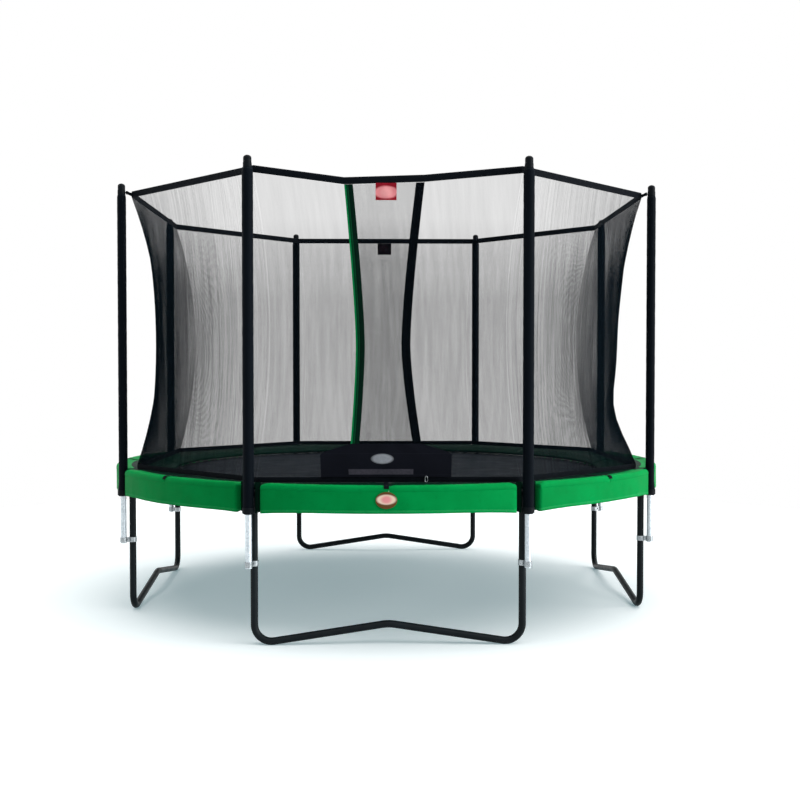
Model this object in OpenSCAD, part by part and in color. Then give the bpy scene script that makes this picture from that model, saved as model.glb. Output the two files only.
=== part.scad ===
// Round garden trampoline on four W-shaped legs, with a padded rim and a safety net on eight poles.
// Millimetres, +Z up. The origin is on the ground under the middle of the mat, and -Y is the entrance side.
// Azimuths are counted from -Y towards +X, so azimuth 0 is the middle of the entrance.

/* [Frame] */
// Outer diameter of the round steel rail
frame_d = 3800; // [3500:50:4200]
// Outer diameter of the rail tube
rail_d = 50; // [46:1:60]
// Wall of the rail tube
rail_wall = 2; // [1.5:0.1:3]
// Height of the rail's centre line above the ground
rail_z = 890; // [820:5:1000]
// Length of the reduced end that plugs into the next rail
rail_plug = 65; // [50:5:90]

/* [Legs] */
// Distance between the two uprights of one W leg
leg_span = 1570; // [1400:10:1650]
// Outer diameter of the leg tubes
leg_d = 44; // [40:1:48]
// Wall of the leg tubes
leg_wall = 2; // [1.5:0.1:3]
// Centre-line radius of the two foot bends
foot_bend_r = 100; // [80:5:130]
// Centre-line radius of the bend at the raised middle
peak_bend_r = 250; // [150:10:350]
// How far the middle of the bottom bar is raised
peak_rise = 100; // [60:5:140]
// Height at which the leg tube plugs into the W tube
leg_joint_z = 505; // [470:5:560]
// Length of the plugged ends
leg_plug = 80; // [60:5:100]

/* [Net poles] */
// Outer diameter of the galvanised pole
pole_d = 38; // [36:1:44]
// Wall of the pole
pole_wall = 1.5; // [1.2:0.1:2.5]
// Height of the pole's lower end
pole_foot_z = 460; // [440:5:464]
// Height of the pole's upper end
pole_top_z = 2818; // [2700:2:2900]
// Outer diameter of the padded sleeve
sleeve_d = 66; // [58:1:72]
// Height of the sleeve's lower end
sleeve_z = 775; // [750:5:790]
// Length of the pole inside its cap
cap_depth = 46; // [40:1:50]
// Radius of the collar that carries the hook
cap_collar_r = 25.5; // [25:0.5:29]
// Height of the collar
cap_collar_h = 26; // [22:1:30]
// Radius of the plain round top that a canopy pole end slides over
cap_pin_r = 24; // [23:0.5:24.5]
// Height of the plain round top
cap_pin_h = 27; // [24:1:30]
// Height of the dome above it
cap_dome_h = 18; // [12:1:22]

/* [Clamps] */
// Height of the middle of the silver clamp on the W tube
low_clamp_z = 482; // [478:1:486]
// Height of the middle of the black clamp under the rail
high_clamp_z = 797; // [792:1:805]
// Height of a clamp
clamp_h = 32; // [26:1:36]
// Thickness of a clamp's band
clamp_wall = 3.5; // [2.5:0.5:5]
// Width of the web between the two tubes
clamp_web_w = 20; // [16:1:24]
// Diameter of the clamp bolt
bolt_d = 8; // [6:1:8]

/* [Springs] */
// Number of springs, a multiple of eight
spring_count = 88; // [64:8:96]
// Outer diameter of the coil
coil_d = 26; // [22:1:28]
// Steel wall that gives the plain coil its weight
coil_wall = 1.2; // [1:0.1:2]
// Diameter of the spring wire
wire_d = 3.6; // [3:0.2:4]

/* [Mat] */
// Distance from the mat's edge to the centre line of the rail
mat_gap = 325; // [305:5:425]
// Thickness of the woven mat
mat_t = 2; // [1.5:0.5:3]
// Width of the sewn border
border_w = 50; // [40:5:70]
// Thickness of the sewn border
border_t = 6; // [5:0.5:8]
// Radius of a mat ring to the middle of its wire
ring_r = 14; // [12:1:16]
// Diameter of the wire of a mat ring
ring_wire_d = 5; // [4:0.5:6]
// Width of the webbing loop that holds a ring to the border
loop_w = 12; // [10:1:14]
// Thickness of that webbing
loop_t = 1.5; // [1:0.5:2]

/* [Safety pad] */
// Width by which the pad covers the mat
pad_cover = 20; // [10:5:40]
// Width by which the pad overhangs the rail
pad_overhang = 45; // [40:1:60]
// Thickness of the pad where the net stands on it
pad_t = 35; // [25:1:50]
// Height of the skirt below the rail's top
skirt_drop = 118; // [110:2:160]
// Thickness of the skirt
skirt_t = 6; // [3:1:8]
// Width of the cut-out in the pad round each pole
notch_w = 134; // [120:2:160]
// Corner radius of the cut-out
notch_r = 20; // [10:2:25]

/* [Safety net] */
// Height of the net's upper edge
net_top_z = 2754; // [2650:2:2760]
// Distance of the net's corners inside the poles' centre lines at its upper edge
net_top_in = 68; // [56:2:96]
// The same distance at its waist
net_waist_in = 234; // [176:2:276]
// The same distance at its lower edge
net_foot_in = 95; // [90:1:116]
// Height of the waist
net_waist_z = 1840; // [1700:10:1950]
// How far the waist is rounded, from an octagon (0) to a circle (1)
waist_round = 0.6; // [0:0.1:1]
// Width of one strand of the open net
strand_w = 14; // [10:1:20]
// Thickness of the net, its bindings and its bands
net_t = 3; // [2:0.5:4]
// Height of the upper band
band_h = 42; // [25:1:50]
// Height of the lower hem
hem_h = 32; // [25:1:40]
// Width of the binding on a flap's free edge
binding_w = 50; // [24:1:56]
// Gaps across one net panel
net_cols = 5; // [3:1:5]
// Gaps up one net panel
net_rows = 6; // [4:1:6]

/* [Entrance] */
// From the middle plane to the outer flap's free edge, at the upper band
outer_top_w = 258; // [220:2:290]
// The same where the entrance is narrowest
outer_waist_w = 179; // [150:1:200]
// The same at the lower hem
outer_foot_w = 238; // [210:2:270]
// From the middle plane to the inner flap's free edge, at the upper band
inner_top_w = 212; // [190:2:240]
// The same where the entrance is narrowest
inner_waist_w = 121; // [100:1:150]
// The same at the lower hem
inner_foot_w = 226; // [200:2:250]
// Height at which the entrance is narrowest
entry_waist_z = 1780; // [1700:10:1900]
// Drop of the upper band at the outer flap's free corner
outer_sag = 68; // [30:2:100]
// Drop of the upper band at the inner flap's free corner
inner_sag = 52; // [30:2:100]
// From the middle plane to the middle of the kick panel and the tabs, towards the outer flap's free edge
entry_shift = 14; // [0:1:30]
// Height of the black kick panel
kick_h = 194; // [160:2:240]
// Height of the kick panel's shoulders
kick_shoulder_h = 144; // [110:2:150]
// Half-width of the kick panel at its top
kick_top_w = 205; // [180:1:240]
// Half-width of the kick panel up to its shoulders
kick_foot_w = 379; // [320:1:400]
// Width of a fabric tab
tab_w = 122; // [100:2:140]
// Height of a fabric tab
tab_h = 100; // [80:2:120]

/* [Hidden] */
fit = 0.3; // gap between pieces that fit each other or touch
$fn = 48;
ring_fn = 192; // roundness of everything that goes round the whole trampoline

// Frame and legs
rail_r = frame_d / 2 - rail_d / 2;
rail_top = rail_z + rail_d / 2;
rail_bottom = rail_z - rail_d / 2;
leg_r = leg_d / 2;
leg_azimuth = asin(leg_span / 2 / rail_r);
leg_plane = rail_r * cos(leg_azimuth);
plug_r = leg_r - leg_wall - fit;
rail_plug_r = rail_d / 2 - rail_wall - fit;
plug_step = 4; // length of the shoulder behind a plugged end
draw = 0.1; // a straight stretch of a bent tube is this much thinner in radius than its bends
swage = 3; // and it reaches this far into them
joint_turn = 45; // each of the eight rails spans this much
screw_turn = 1; // a rail screw sits this far past the joint
screw_r = 3;
screw_hole_r = 3.3;
screw_head_r = 6;

// The eight upright positions, numbered from the front left one, counter-clockwise seen from above
post_azimuths = [for (q = [0:3]) each [q * 90 - leg_azimuth, q * 90 + leg_azimuth]];
pole_from_rail = 3; // gap between the rail and the sleeve
pole_r = rail_r + rail_d / 2 + pole_from_rail + sleeve_d / 2;
clamp_reach = pole_r - rail_r; // distance between the tubes that a clamp joins
net_top_r = pole_r - net_top_in;
net_waist_r = pole_r - net_waist_in;
net_foot_r = pole_r - net_foot_in;
cap_z = pole_top_z - cap_depth;
cap_hook_z = cap_z + cap_collar_h / 2;
cap_hook_reach = 9; // how far the hook reaches inwards from the collar

// Springs and mat
mat_r = rail_r - mat_gap;
loop_slot = 10; // how far the slot for the ring reaches past the mat's edge
ring_curve = ring_r - sqrt(ring_r * ring_r - loop_w * loop_w / 4); // the ring curves away by this across a loop
ring_centre_r = mat_r + loop_slot - fit - ring_wire_d / 2 - ring_curve + ring_r;
hook_r = ring_centre_r + ring_r - ring_wire_d / 2 - fit - wire_d / 2; // the hook pulls on the ring's outer side
hook_rise = ring_wire_d / 2 + fit + wire_d / 2; // height of the hook wire over the coil's axis
hook_len = 34; // length of the straight wire at each end of a coil
coil_in_r = hook_r + hook_len;
coil_out_r = rail_r - rail_d / 2 - hook_len;
hook_depth = 8; // how far the hook reaches into the rail
spring_hole_r = wire_d / 2 + fit;
springs_per_rail = floor(spring_count / 8);

// Pad, seen as an outline of radius and height
pad_seat_z = rail_top + fit;
pad_low_z = rail_z + coil_d / 2 + 2;
pad_in_r = mat_r - pad_cover;
pad_out_r = frame_d / 2 + pad_overhang;
pad_top_z = pad_seat_z + pad_t;
pad_edge_z = pad_top_z + 10;
roll_r = 16; // radius of the rolled outer edge
pad_slope = 110; // width of the pad's inner slope
pad_flat_in = pad_in_r + pad_slope; // the flat band that the net stands on
pad_flat_out = net_foot_r + 22;
pad_upper = concat(
    [for (a = [180:-20:100]) [pad_in_r + 10 + 10 * cos(a), pad_low_z + 10 + 10 * sin(a)]],
    [[pad_flat_in - 45, pad_top_z - 9], [pad_flat_in, pad_top_z], [pad_flat_out, pad_top_z]],
    [[pad_flat_out + 30, pad_edge_z - 2]],
    [for (a = [90:-15:0]) [pad_out_r - roll_r + roll_r * cos(a), pad_edge_z - roll_r + roll_r * sin(a)]]
);
pad_lower = [
    [pad_out_r, pad_seat_z], [rail_r - rail_d / 2, pad_seat_z],
    [rail_r - rail_d / 2 - 40, pad_low_z], [pad_in_r + 8, pad_low_z]
];
skirt_z = rail_top - skirt_drop;
notch_in_r = rail_r + 12; // the cut-out reaches inwards to here

// Net
net_foot_z = pad_top_z + fit + hem_h + fit;
net_sides = [0:7];
seam = 0.6; // half of the gap between two panels at a corner
flap_out = net_t / 2 + 4; // the outer flap stands this far outside the middle surface, the inner one inside
front_band_t = 2 * (flap_out + net_t / 2); // both flaps are sewn between the bands of the entrance side
kick_out = flap_out + net_t + 4; // the kick panel hangs this far outside, clear of the flap's flat cells

function lerp(a, b, t) = a + (b - a) * t;
function side_half(side) = side % 2 == 0 ? leg_azimuth : 45 - leg_azimuth;

// Radius of the net's corners at a height: a parabola above the waist and another below it
function corner_r(z) = z > net_waist_z
    ? net_waist_r + (net_top_r - net_waist_r) * pow((z - net_waist_z) / (net_top_z - net_waist_z), 2)
    : net_waist_r + (net_foot_r - net_waist_r) * pow((net_waist_z - z) / (net_waist_z - net_foot_z), 2);

// Share by which a level is rounded from an octagon towards a circle
function level_round(z) = waist_round * sin(180 * min(1, max(0, (z - net_foot_z) / (net_top_z - net_foot_z))));

// A point of the net: side, place across it from -1 to 1, height, and distance outside the middle surface
function net_point(side, across, z, out) =
    let (
        half = side_half(side),
        turn = atan(across * tan(half)),
        share = level_round(z),
        r = corner_r(z) * ((1 - share) * cos(half) / cos(turn) + share) + out,
        azimuth = 45 * side + turn
    ) [r * sin(azimuth), -r * cos(azimuth), z];

// Half the width of a side at a height
function side_w(side, z) = corner_r(z) * sin(side_half(side));

// From the middle plane to a flap's free edge at a height, as an hourglass. Hand -1 is the outer flap, 1 the inner.
entry_curve = 1.5; // exponent of that hourglass: 1 is straight, 2 a parabola
function entry_w(hand, z) =
    let (
        above = z > entry_waist_z,
        waist = hand < 0 ? outer_waist_w : inner_waist_w,
        end = hand < 0 ? (above ? outer_top_w : outer_foot_w) : (above ? inner_top_w : inner_foot_w),
        share = (z - entry_waist_z) / ((above ? net_top_z : net_foot_z) - entry_waist_z)
    ) waist + (end - waist) * pow(share, entry_curve);

// Height of the net's upper edge on the entrance side: it dips to the two flaps' free corners
function front_top(across) =
    let (wide = side_w(0, net_top_z), x = across * wide)
    net_top_z - (
        x < -outer_top_w ? outer_sag * (wide + x) / (wide - outer_top_w)
        : x > inner_top_w ? inner_sag * (wide - x) / (wide - inner_top_w)
        : lerp(outer_sag, inner_sag, (x + outer_top_w) / (outer_top_w + inner_top_w)));

// Height of a point at share up the net
function net_height(side, across, up) =
    lerp(net_foot_z, side == 0 ? front_top(across) : net_top_z, up);

// Places across a panel of the two edges, as shares of the half side
function panel_start(kind, z) =
    kind == "outer" ? (binding_w + fit - entry_w(-1, z)) / side_w(0, z) : -1 + seam / side_w(0, z);
function panel_end(kind, z) =
    kind == "inner" ? (entry_w(1, z) - binding_w - fit) / side_w(0, z) : 1 - seam / side_w(0, z);

// Cell edges of a lattice: strand, gap, strand, ... as shares from 0 to 1
function lattice_edges(gaps, length) =
    let (strand = strand_w / length, gap = (1 - strand * (gaps + 1)) / gaps)
    [for (i = [0:gaps]) each [i * (strand + gap), i * (strand + gap) + strand]];

// Cell edges across a flap, from its binding: two gaps to where the upper edge bends, and the rest beyond
function flap_edges(kind, length) =
    let (
        reach = (kind == "outer" ? outer_top_w : inner_top_w) - binding_w - fit,
        bend_w = kind == "outer" ? inner_top_w : outer_top_w,
        bend = (reach + bend_w) / (reach + side_w(0, net_top_z) - seam),
        strand = strand_w / length,
        near = lattice_edges(2, length * bend),
        far = lattice_edges(net_cols - 2, length * (1 - bend + strand))
    ) concat([for (e = near) e * bend], [for (i = [2:len(far) - 1]) lerp(bend - strand, 1, far[i])]);

// One closed sheet from a grid of outer and inner points. Cells with odd column and odd row are open.
module sheet(outer, inner, open) {
    cols = len(outer);
    rows = len(outer[0]);
    function at(i, j, face) = (i * rows + j) * 2 + face;
    function solid(i, j) =
        i >= 0 && j >= 0 && i < cols - 1 && j < rows - 1 && !(open && i % 2 == 1 && j % 2 == 1);
    function two(a, b, c, d) = [[a, b, c], [a, c, d]];
    points = [for (i = [0:cols - 1]) for (j = [0:rows - 1]) each [outer[i][j], inner[i][j]]];
    faces = [
        for (i = [0:cols - 2]) for (j = [0:rows - 2]) if (solid(i, j)) each concat(
            two(at(i, j, 0), at(i, j + 1, 0), at(i + 1, j + 1, 0), at(i + 1, j, 0)),
            two(at(i, j, 1), at(i + 1, j, 1), at(i + 1, j + 1, 1), at(i, j + 1, 1)),
            solid(i - 1, j) ? [] : two(at(i, j, 0), at(i, j, 1), at(i, j + 1, 1), at(i, j + 1, 0)),
            solid(i + 1, j) ? [] : two(at(i + 1, j, 0), at(i + 1, j + 1, 0), at(i + 1, j + 1, 1), at(i + 1, j, 1)),
            solid(i, j - 1) ? [] : two(at(i, j, 0), at(i + 1, j, 0), at(i + 1, j, 1), at(i, j, 1)),
            solid(i, j + 1) ? [] : two(at(i, j + 1, 0), at(i, j + 1, 1), at(i + 1, j + 1, 1), at(i + 1, j + 1, 0))
        )
    ];
    polyhedron(points = points, faces = faces);
}

// A ring-shaped section of a tube
module tube_section(r, wall) {
    difference() {
        circle(r);
        circle(r - wall);
    }
}

// A straight tube from z0 to z1
module straight_tube(r, wall, z0, z1) {
    translate([0, 0, z0]) linear_extrude(z1 - z0) tube_section(r, wall);
}

// Places its children at an azimuth and a radius, with local -Y pointing outwards
module at_azimuth(azimuth, r) {
    rotate([0, 0, azimuth]) translate([0, -r, 0]) children();
}

// --- Frame ---

// A stretch of the ring between two azimuths, as a solid bar of the given radius
module rail_bar(from, to, r) {
    rotate([0, 0, from - 90]) rotate_extrude(angle = to - from, $fn = ring_fn)
        translate([rail_r, 0]) circle(r, $fn = 48);
}

// One rail: an eighth of the ring, with a welded stub for its leg tube, and a reduced end for the next rail
module frame_rail(n) {
    start = joint_turn * (n - 1) - joint_turn;
    shoulder = start + joint_turn - plug_step / rail_r * 180 / PI;
    plug_end = start + joint_turn + rail_plug / rail_r * 180 / PI;
    gap = fit / rail_r * 180 / PI;
    stub_azimuth = post_azimuths[n - 1];
    color("#202428") translate([0, 0, rail_z]) difference() {
        union() {
            rail_bar(start + gap, start + joint_turn, rail_d / 2);
            rail_bar(shoulder, plug_end, rail_plug_r);
            at_azimuth(stub_azimuth, rail_r)
                translate([0, 0, -rail_d / 2 - leg_plug]) cylinder(h = leg_plug + rail_d / 4, r = plug_r);
        }
        rail_bar(start + gap / 2, shoulder, rail_d / 2 - rail_wall);
        rail_bar(shoulder - gap, plug_end + gap, rail_plug_r - rail_wall);
        at_azimuth(stub_azimuth, rail_r)
            translate([0, 0, -rail_d / 2 - leg_plug - 1]) cylinder(h = leg_plug - 4, r = plug_r - leg_wall);
        for (end = [start, start + joint_turn]) at_azimuth(end + screw_turn, rail_r)
            translate([0, 0, -rail_d / 2 - 1]) cylinder(h = rail_d / 2, r = screw_hole_r);
        for (i = [0:springs_per_rail - 1])
            at_azimuth(start + (i + 0.5) * joint_turn / springs_per_rail, rail_r - rail_d / 2 - 2)
                rotate([90, 0, 0]) cylinder(h = rail_d / 4 + 2, r = spring_hole_r);
    }
}

// The self-drilling screws under the eight rail joints
module rail_screws() {
    color("#b9bdc0") for (n = [0:7]) at_azimuth(joint_turn * n + screw_turn, rail_r) {
        translate([0, 0, rail_bottom - 5 - fit]) cylinder(h = 5, r = screw_head_r, $fn = 6);
        translate([0, 0, rail_bottom - fit - 1]) cylinder(h = 14, r = screw_r);
    }
}

// --- Legs ---

// A solid bend in the XZ plane round a centre, from one angle over a sweep
module bar_bend(centre, bend_r, r, from, sweep) {
    translate([centre.x, 0, centre.y]) rotate([90, 0, 0]) rotate([0, 0, from])
        rotate_extrude(angle = sweep) translate([bend_r, 0]) circle(r);
}

// The run of a W tube as a solid bar: two uprights, two foot bends, and a bottom bar with a raised middle.
// The bends keep the full radius, and a straight stretch between them is drawn a hair thinner.
module w_bar(r, top_z) {
    module straight(r, length) {
        cylinder(h = length, r = r - draw);
    }
    half = leg_span / 2;
    reach = half - foot_bend_r;
    bends = foot_bend_r + peak_bend_r;
    lean = asin(bends / norm([reach, bends - peak_rise])) - atan2(bends - peak_rise, reach);
    peak = [0, leg_r + peak_rise - peak_bend_r];
    bar_in = [-peak_bend_r * sin(lean), peak.y + peak_bend_r * cos(lean)];
    bar_out = [-half + foot_bend_r + foot_bend_r * sin(lean), leg_r + foot_bend_r * (1 - cos(lean))];
    bar_bend(peak, peak_bend_r, r, 90 - lean, 2 * lean);
    for (side = [-1, 1]) {
        translate([side * half, 0, leg_r + foot_bend_r - swage]) straight(r, top_z - leg_r - foot_bend_r + swage);
        bar_bend([side * reach, leg_r + foot_bend_r], foot_bend_r, r, side < 0 ? 180 : 270 - lean, 90 + lean);
        translate([-side * bar_out.x, 0, bar_out.y]) rotate([0, side * (lean - 90), 0])
            translate([0, 0, -swage]) straight(r, norm(bar_in - bar_out) + 2 * swage);
    }
}

module w_leg(quarter) {
    color("#24282b") rotate([0, 0, quarter * 90]) translate([0, -leg_plane, 0]) difference() {
        w_bar(leg_r, leg_joint_z);
        w_bar(leg_r - leg_wall, leg_joint_z + 1);
    }
}

// The two straight tubes that join one W tube to the rail
module leg_tubes(quarter) {
    color("#24282b") for (side = [0, 1]) at_azimuth(post_azimuths[quarter * 2 + side], rail_r) {
        straight_tube(leg_r, leg_wall, leg_joint_z + fit, rail_bottom - fit);
        straight_tube(plug_r, leg_wall, leg_joint_z - leg_plug, leg_joint_z + fit + plug_step);
        straight_tube(leg_r - fit, leg_wall + 2 * fit, leg_joint_z + fit, leg_joint_z + fit + plug_step);
    }
}

// --- Net poles ---

module net_pole(n) {
    color("#c6cacc") at_azimuth(post_azimuths[n - 1], pole_r)
        straight_tube(pole_d / 2, pole_wall, pole_foot_z, pole_top_z);
}

// The padded black sleeve that covers a pole from the pad's skirt to the cap
module pole_sleeve(n) {
    color("#1a1d21") at_azimuth(post_azimuths[n - 1], pole_r)
        straight_tube(sleeve_d / 2, sleeve_d / 2 - pole_d / 2 - fit, sleeve_z, cap_z - fit);
}

// The caps: a collar with the hook for the net's corner, a plain round top, and a dome
module pole_caps() {
    bore_r = pole_d / 2 + fit;
    top = cap_z + cap_collar_h + cap_pin_h;
    hook_r = 4;
    color("#17191c") for (azimuth = post_azimuths) at_azimuth(azimuth, pole_r) {
        rotate_extrude() polygon(concat(
            [[bore_r, cap_z], [cap_collar_r, cap_z], [cap_collar_r, cap_z + cap_collar_h]],
            [[cap_pin_r, cap_z + cap_collar_h]],
            [for (a = [0:15:90]) [cap_pin_r * cos(a), top + cap_dome_h * sin(a)]],
            [[0, pole_top_z + 1], [bore_r, pole_top_z + 1]]
        ));
        translate([0, cap_collar_r - 2, cap_hook_z]) rotate([-90, 0, 0]) {
            cylinder(h = cap_hook_reach + 2, r = hook_r);
            translate([0, 0, cap_hook_reach - 2]) cylinder(h = 4, r = hook_r + 3);
        }
    }
}

// --- Clamps ---

// A clamp band round a leg tube and a second tube outside it, with a web that takes the bolt
module clamp(leg_bore, pole_bore) {
    difference() {
        union() {
            cylinder(h = clamp_h, r = leg_bore + clamp_wall, center = true);
            translate([0, -clamp_reach, 0]) cylinder(h = clamp_h, r = pole_bore + clamp_wall, center = true);
            translate([-clamp_web_w / 2, -clamp_reach, -clamp_h / 2]) cube([clamp_web_w, clamp_reach, clamp_h]);
        }
        cylinder(h = clamp_h + 2, r = leg_bore, center = true);
        translate([0, -clamp_reach, 0]) cylinder(h = clamp_h + 2, r = pole_bore, center = true);
        translate([0, -clamp_bolt_y(leg_bore, pole_bore), 0]) rotate([0, 90, 0])
            cylinder(h = 4 * clamp_web_w, r = bolt_d / 2 + fit, center = true);
    }
}

// The bolt passes midway between the two bores
function clamp_bolt_y(leg_bore, pole_bore) = (leg_bore + clamp_reach - pole_bore) / 2;

module lower_clamps() {
    color("#b9bdc0") for (azimuth = post_azimuths) at_azimuth(azimuth, rail_r)
        translate([0, 0, low_clamp_z]) clamp(leg_r + fit, pole_d / 2 + fit);
}

module upper_clamps() {
    color("#17191c") for (azimuth = post_azimuths) at_azimuth(azimuth, rail_r)
        translate([0, 0, high_clamp_z]) clamp(leg_r + fit, sleeve_d / 2 + fit);
}

// A hexagon bolt with its nut, across a clamp's web
module clamp_bolt(y) {
    translate([0, -y, 0]) rotate([0, 90, 0]) {
        cylinder(h = clamp_web_w + 2 * fit + 14, r = bolt_d / 2, center = true);
        for (side = [-1, 1]) translate([0, 0, side * (clamp_web_w / 2 + fit + 3)])
            cylinder(h = 6, r = bolt_d * 0.85, $fn = 6, center = true);
    }
}

module clamp_bolts() {
    color("#b9bdc0") for (azimuth = post_azimuths) at_azimuth(azimuth, rail_r) {
        translate([0, 0, low_clamp_z]) clamp_bolt(clamp_bolt_y(leg_r + fit, pole_d / 2 + fit));
    }
}

// --- Springs and mat ---

function spring_azimuth(i) = (i + 0.5) * 360 / (springs_per_rail * 8);

// A spring as a plain coil tube with its two hooks, from a mat ring to a hole in the rail
module spring() {
    wire_r = wire_d / 2;
    hook_low = ring_wire_d / 2 + 4;
    rotate([90, 0, 0]) difference() {
        translate([0, 0, coil_in_r]) cylinder(h = coil_out_r - coil_in_r, r = coil_d / 2);
        translate([0, 0, coil_in_r + wire_d])
            cylinder(h = coil_out_r - coil_in_r - 2 * wire_d, r = coil_d / 2 - coil_wall);
    }
    rotate([90, 0, 0]) translate([0, 0, coil_out_r - 1])
        cylinder(h = rail_r - rail_d / 2 + hook_depth - coil_out_r + 1, r = wire_r);
    translate([0, 0, hook_rise]) rotate([90, 0, 0]) translate([0, 0, hook_r])
        cylinder(h = coil_in_r + 1 - hook_r, r = wire_r);
    translate([0, -hook_r, -hook_low]) cylinder(h = hook_low + hook_rise, r = wire_r);
    translate([0, -hook_r, hook_rise]) sphere(wire_r);
}

module springs() {
    color("#c9a24a") for (i = [0:springs_per_rail * 8 - 1])
        rotate([0, 0, spring_azimuth(i)]) translate([0, 0, rail_z]) spring();
}

module mat_rings() {
    color("#b9bdc0") for (i = [0:springs_per_rail * 8 - 1])
        at_azimuth(spring_azimuth(i), ring_centre_r) translate([0, 0, rail_z])
            rotate_extrude() translate([ring_r, 0]) circle(ring_wire_d / 2);
}

// Webbing loops, sewn over the mat's border and round the inner side of each ring
module ring_loops() {
    over = border_w - 15; // length of a loop's tail on the border
    color("#2c3238") for (i = [0:springs_per_rail * 8 - 1])
        at_azimuth(spring_azimuth(i), 0) translate([-loop_w / 2, 0, rail_z]) rotate([90, 0, 90])
            linear_extrude(loop_w) difference() {
                translate([-mat_r - loop_slot - loop_t, -border_t / 2 - loop_t])
                    square([loop_t + loop_slot + over, border_t + 2 * loop_t]);
                translate([-mat_r - loop_slot, -border_t / 2]) square([loop_slot + over + 1, border_t]);
            }
}

module jump_mat() {
    color("#22262b") translate([0, 0, rail_z]) rotate_extrude($fn = ring_fn) polygon([
        [0, -mat_t / 2], [mat_r - border_w, -mat_t / 2], [mat_r - border_w, -border_t / 2],
        [mat_r, -border_t / 2], [mat_r, border_t / 2], [mat_r - border_w, border_t / 2],
        [mat_r - border_w, mat_t / 2], [0, mat_t / 2]
    ]);
}

// --- Pad ---

// The cut-outs round the eight poles, open outwards
module pole_notches() {
    depth = pad_out_r + 20 - notch_in_r;
    for (azimuth = post_azimuths) at_azimuth(azimuth, pad_out_r + 20) translate([0, 0, skirt_z - 1])
        linear_extrude(pad_edge_z - skirt_z + 10) {
            translate([-notch_w / 2, 0]) square([notch_w, depth - notch_r]);
            translate([-notch_w / 2 + notch_r, 0]) square([notch_w - 2 * notch_r, depth]);
            for (side = [-1, 1]) translate([side * (notch_w / 2 - notch_r), depth - notch_r]) circle(notch_r);
        }
}

module safety_pad() {
    color("#0a8a45") difference() {
        rotate_extrude($fn = ring_fn) polygon(concat(pad_upper, pad_lower));
        pole_notches();
    }
}

module pad_skirt() {
    color("#0a8a45") difference() {
        rotate_extrude($fn = ring_fn) translate([pad_out_r - skirt_t, skirt_z])
            square([skirt_t, pad_seat_z - fit - skirt_z]);
        pole_notches();
    }
}

// The outline pushed out by a distance, each point along the mean normal of its two edges
function pushed(path, by) = [
    for (i = [0:len(path) - 1])
        let (
            a = path[max(0, i - 1)],
            b = path[min(len(path) - 1, i + 1)],
            along = (b - a) / norm(b - a)
        ) path[i] + by * [-along.y, along.x]
];

// Webbing straps that hold the hem down over the pad's edge, one in the middle of each side
module hem_straps() {
    strap_w = 30;
    strap_t = 2;
    strap_drop = 10;
    for (side = net_sides) {
        hem_r = net_foot_r * cos(side_half(side)) + (side == 0 ? front_band_t : net_t) / 2 + fit;
        path = concat(
            [[hem_r, pad_top_z]],
            [for (p = pad_upper) if (p.x > pad_flat_out - 1 && p.x > hem_r + 1) p],
            [[pad_out_r, pad_edge_z - strap_drop - roll_r]]
        );
        inner = pushed(path, fit);
        outer = pushed(path, fit + strap_t);
        middle = side == 0 ? -entry_shift : 0;
        rotate([0, 0, 45 * side]) translate([middle + strap_w / 2, 0, 0]) rotate([90, 0, -90]) linear_extrude(strap_w)
            polygon(concat(inner, [for (i = [len(outer) - 1:-1:0]) outer[i]]));
    }
}

// --- Net ---

// The heights of the lattice's rows, as shares of the net's height
net_row_edges = lattice_edges(net_rows, net_top_z - net_foot_z);

// An open net panel on one side. A flap ends at its binding and stands off the middle surface.
module net_lattice(side, kind, out) {
    width = (panel_end(kind, net_waist_z) - panel_start(kind, net_waist_z)) * side_w(side, net_waist_z);
    flap_columns = flap_edges(kind, width);
    column_edges = kind == "plain" ? lattice_edges(net_cols, width)
        : kind == "outer" ? flap_columns
        : [for (i = [len(flap_columns) - 1:-1:0]) 1 - flap_columns[i]];
    function across_at(u, v) =
        let (z = lerp(net_foot_z, net_top_z, v)) lerp(panel_start(kind, z), panel_end(kind, z), u);
    function grid(shift) = [for (u = column_edges) [for (v = net_row_edges)
        let (across = across_at(u, v)) net_point(side, across, net_height(side, across, v), shift)]];
    sheet(grid(out + net_t / 2), grid(out - net_t / 2), true);
}

module net_panel(side) {
    color("#3a4247") net_lattice(side, "plain", 0);
}

module outer_flap() {
    color("#3a4247") net_lattice(0, "outer", flap_out);
}

module inner_flap() {
    color("#3a4247") net_lattice(0, "inner", -flap_out);
}

// The binding along a flap's free edge, on the left for the outer flap (hand -1), on the right for the inner (1)
module flap_binding(hand, out) {
    function grid(shift) = [for (edge = hand < 0 ? [1, 0] : [0, 1]) [for (v = net_row_edges)
        let (
            z = lerp(net_foot_z, net_top_z, v),
            across = hand * (entry_w(hand, z) - (1 - edge) * binding_w) / side_w(0, z)
        ) net_point(0, across, net_height(0, across, v), shift)]];
    sheet(grid(out + net_t / 2), grid(out - net_t / 2), false);
}

module outer_flap_binding() {
    color("#0f7a3c") flap_binding(-1, flap_out);
}

module inner_flap_binding() {
    color("#1a1d21") flap_binding(1, -flap_out);
}

// A band along one side, between two heights above a lower edge, with the given stations across the side
module side_band(side, stations, low, high, thick) {
    function edge_z(across) = side == 0 && low > net_waist_z ? front_top(across) - net_top_z : 0;
    function reference(z) = min(net_top_z, max(net_foot_z, z));
    function shifted(p, rise) = [p.x, p.y, p.z + rise];
    function grid(shift) = [for (t = stations) [for (z = [low, high])
        let (p = net_point(side, t * (1 - seam / side_w(side, reference(z))), reference(z), shift))
        shifted(p, z - reference(z) + edge_z(t))]];
    sheet(grid(thick / 2), grid(-thick / 2), false);
}

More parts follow.
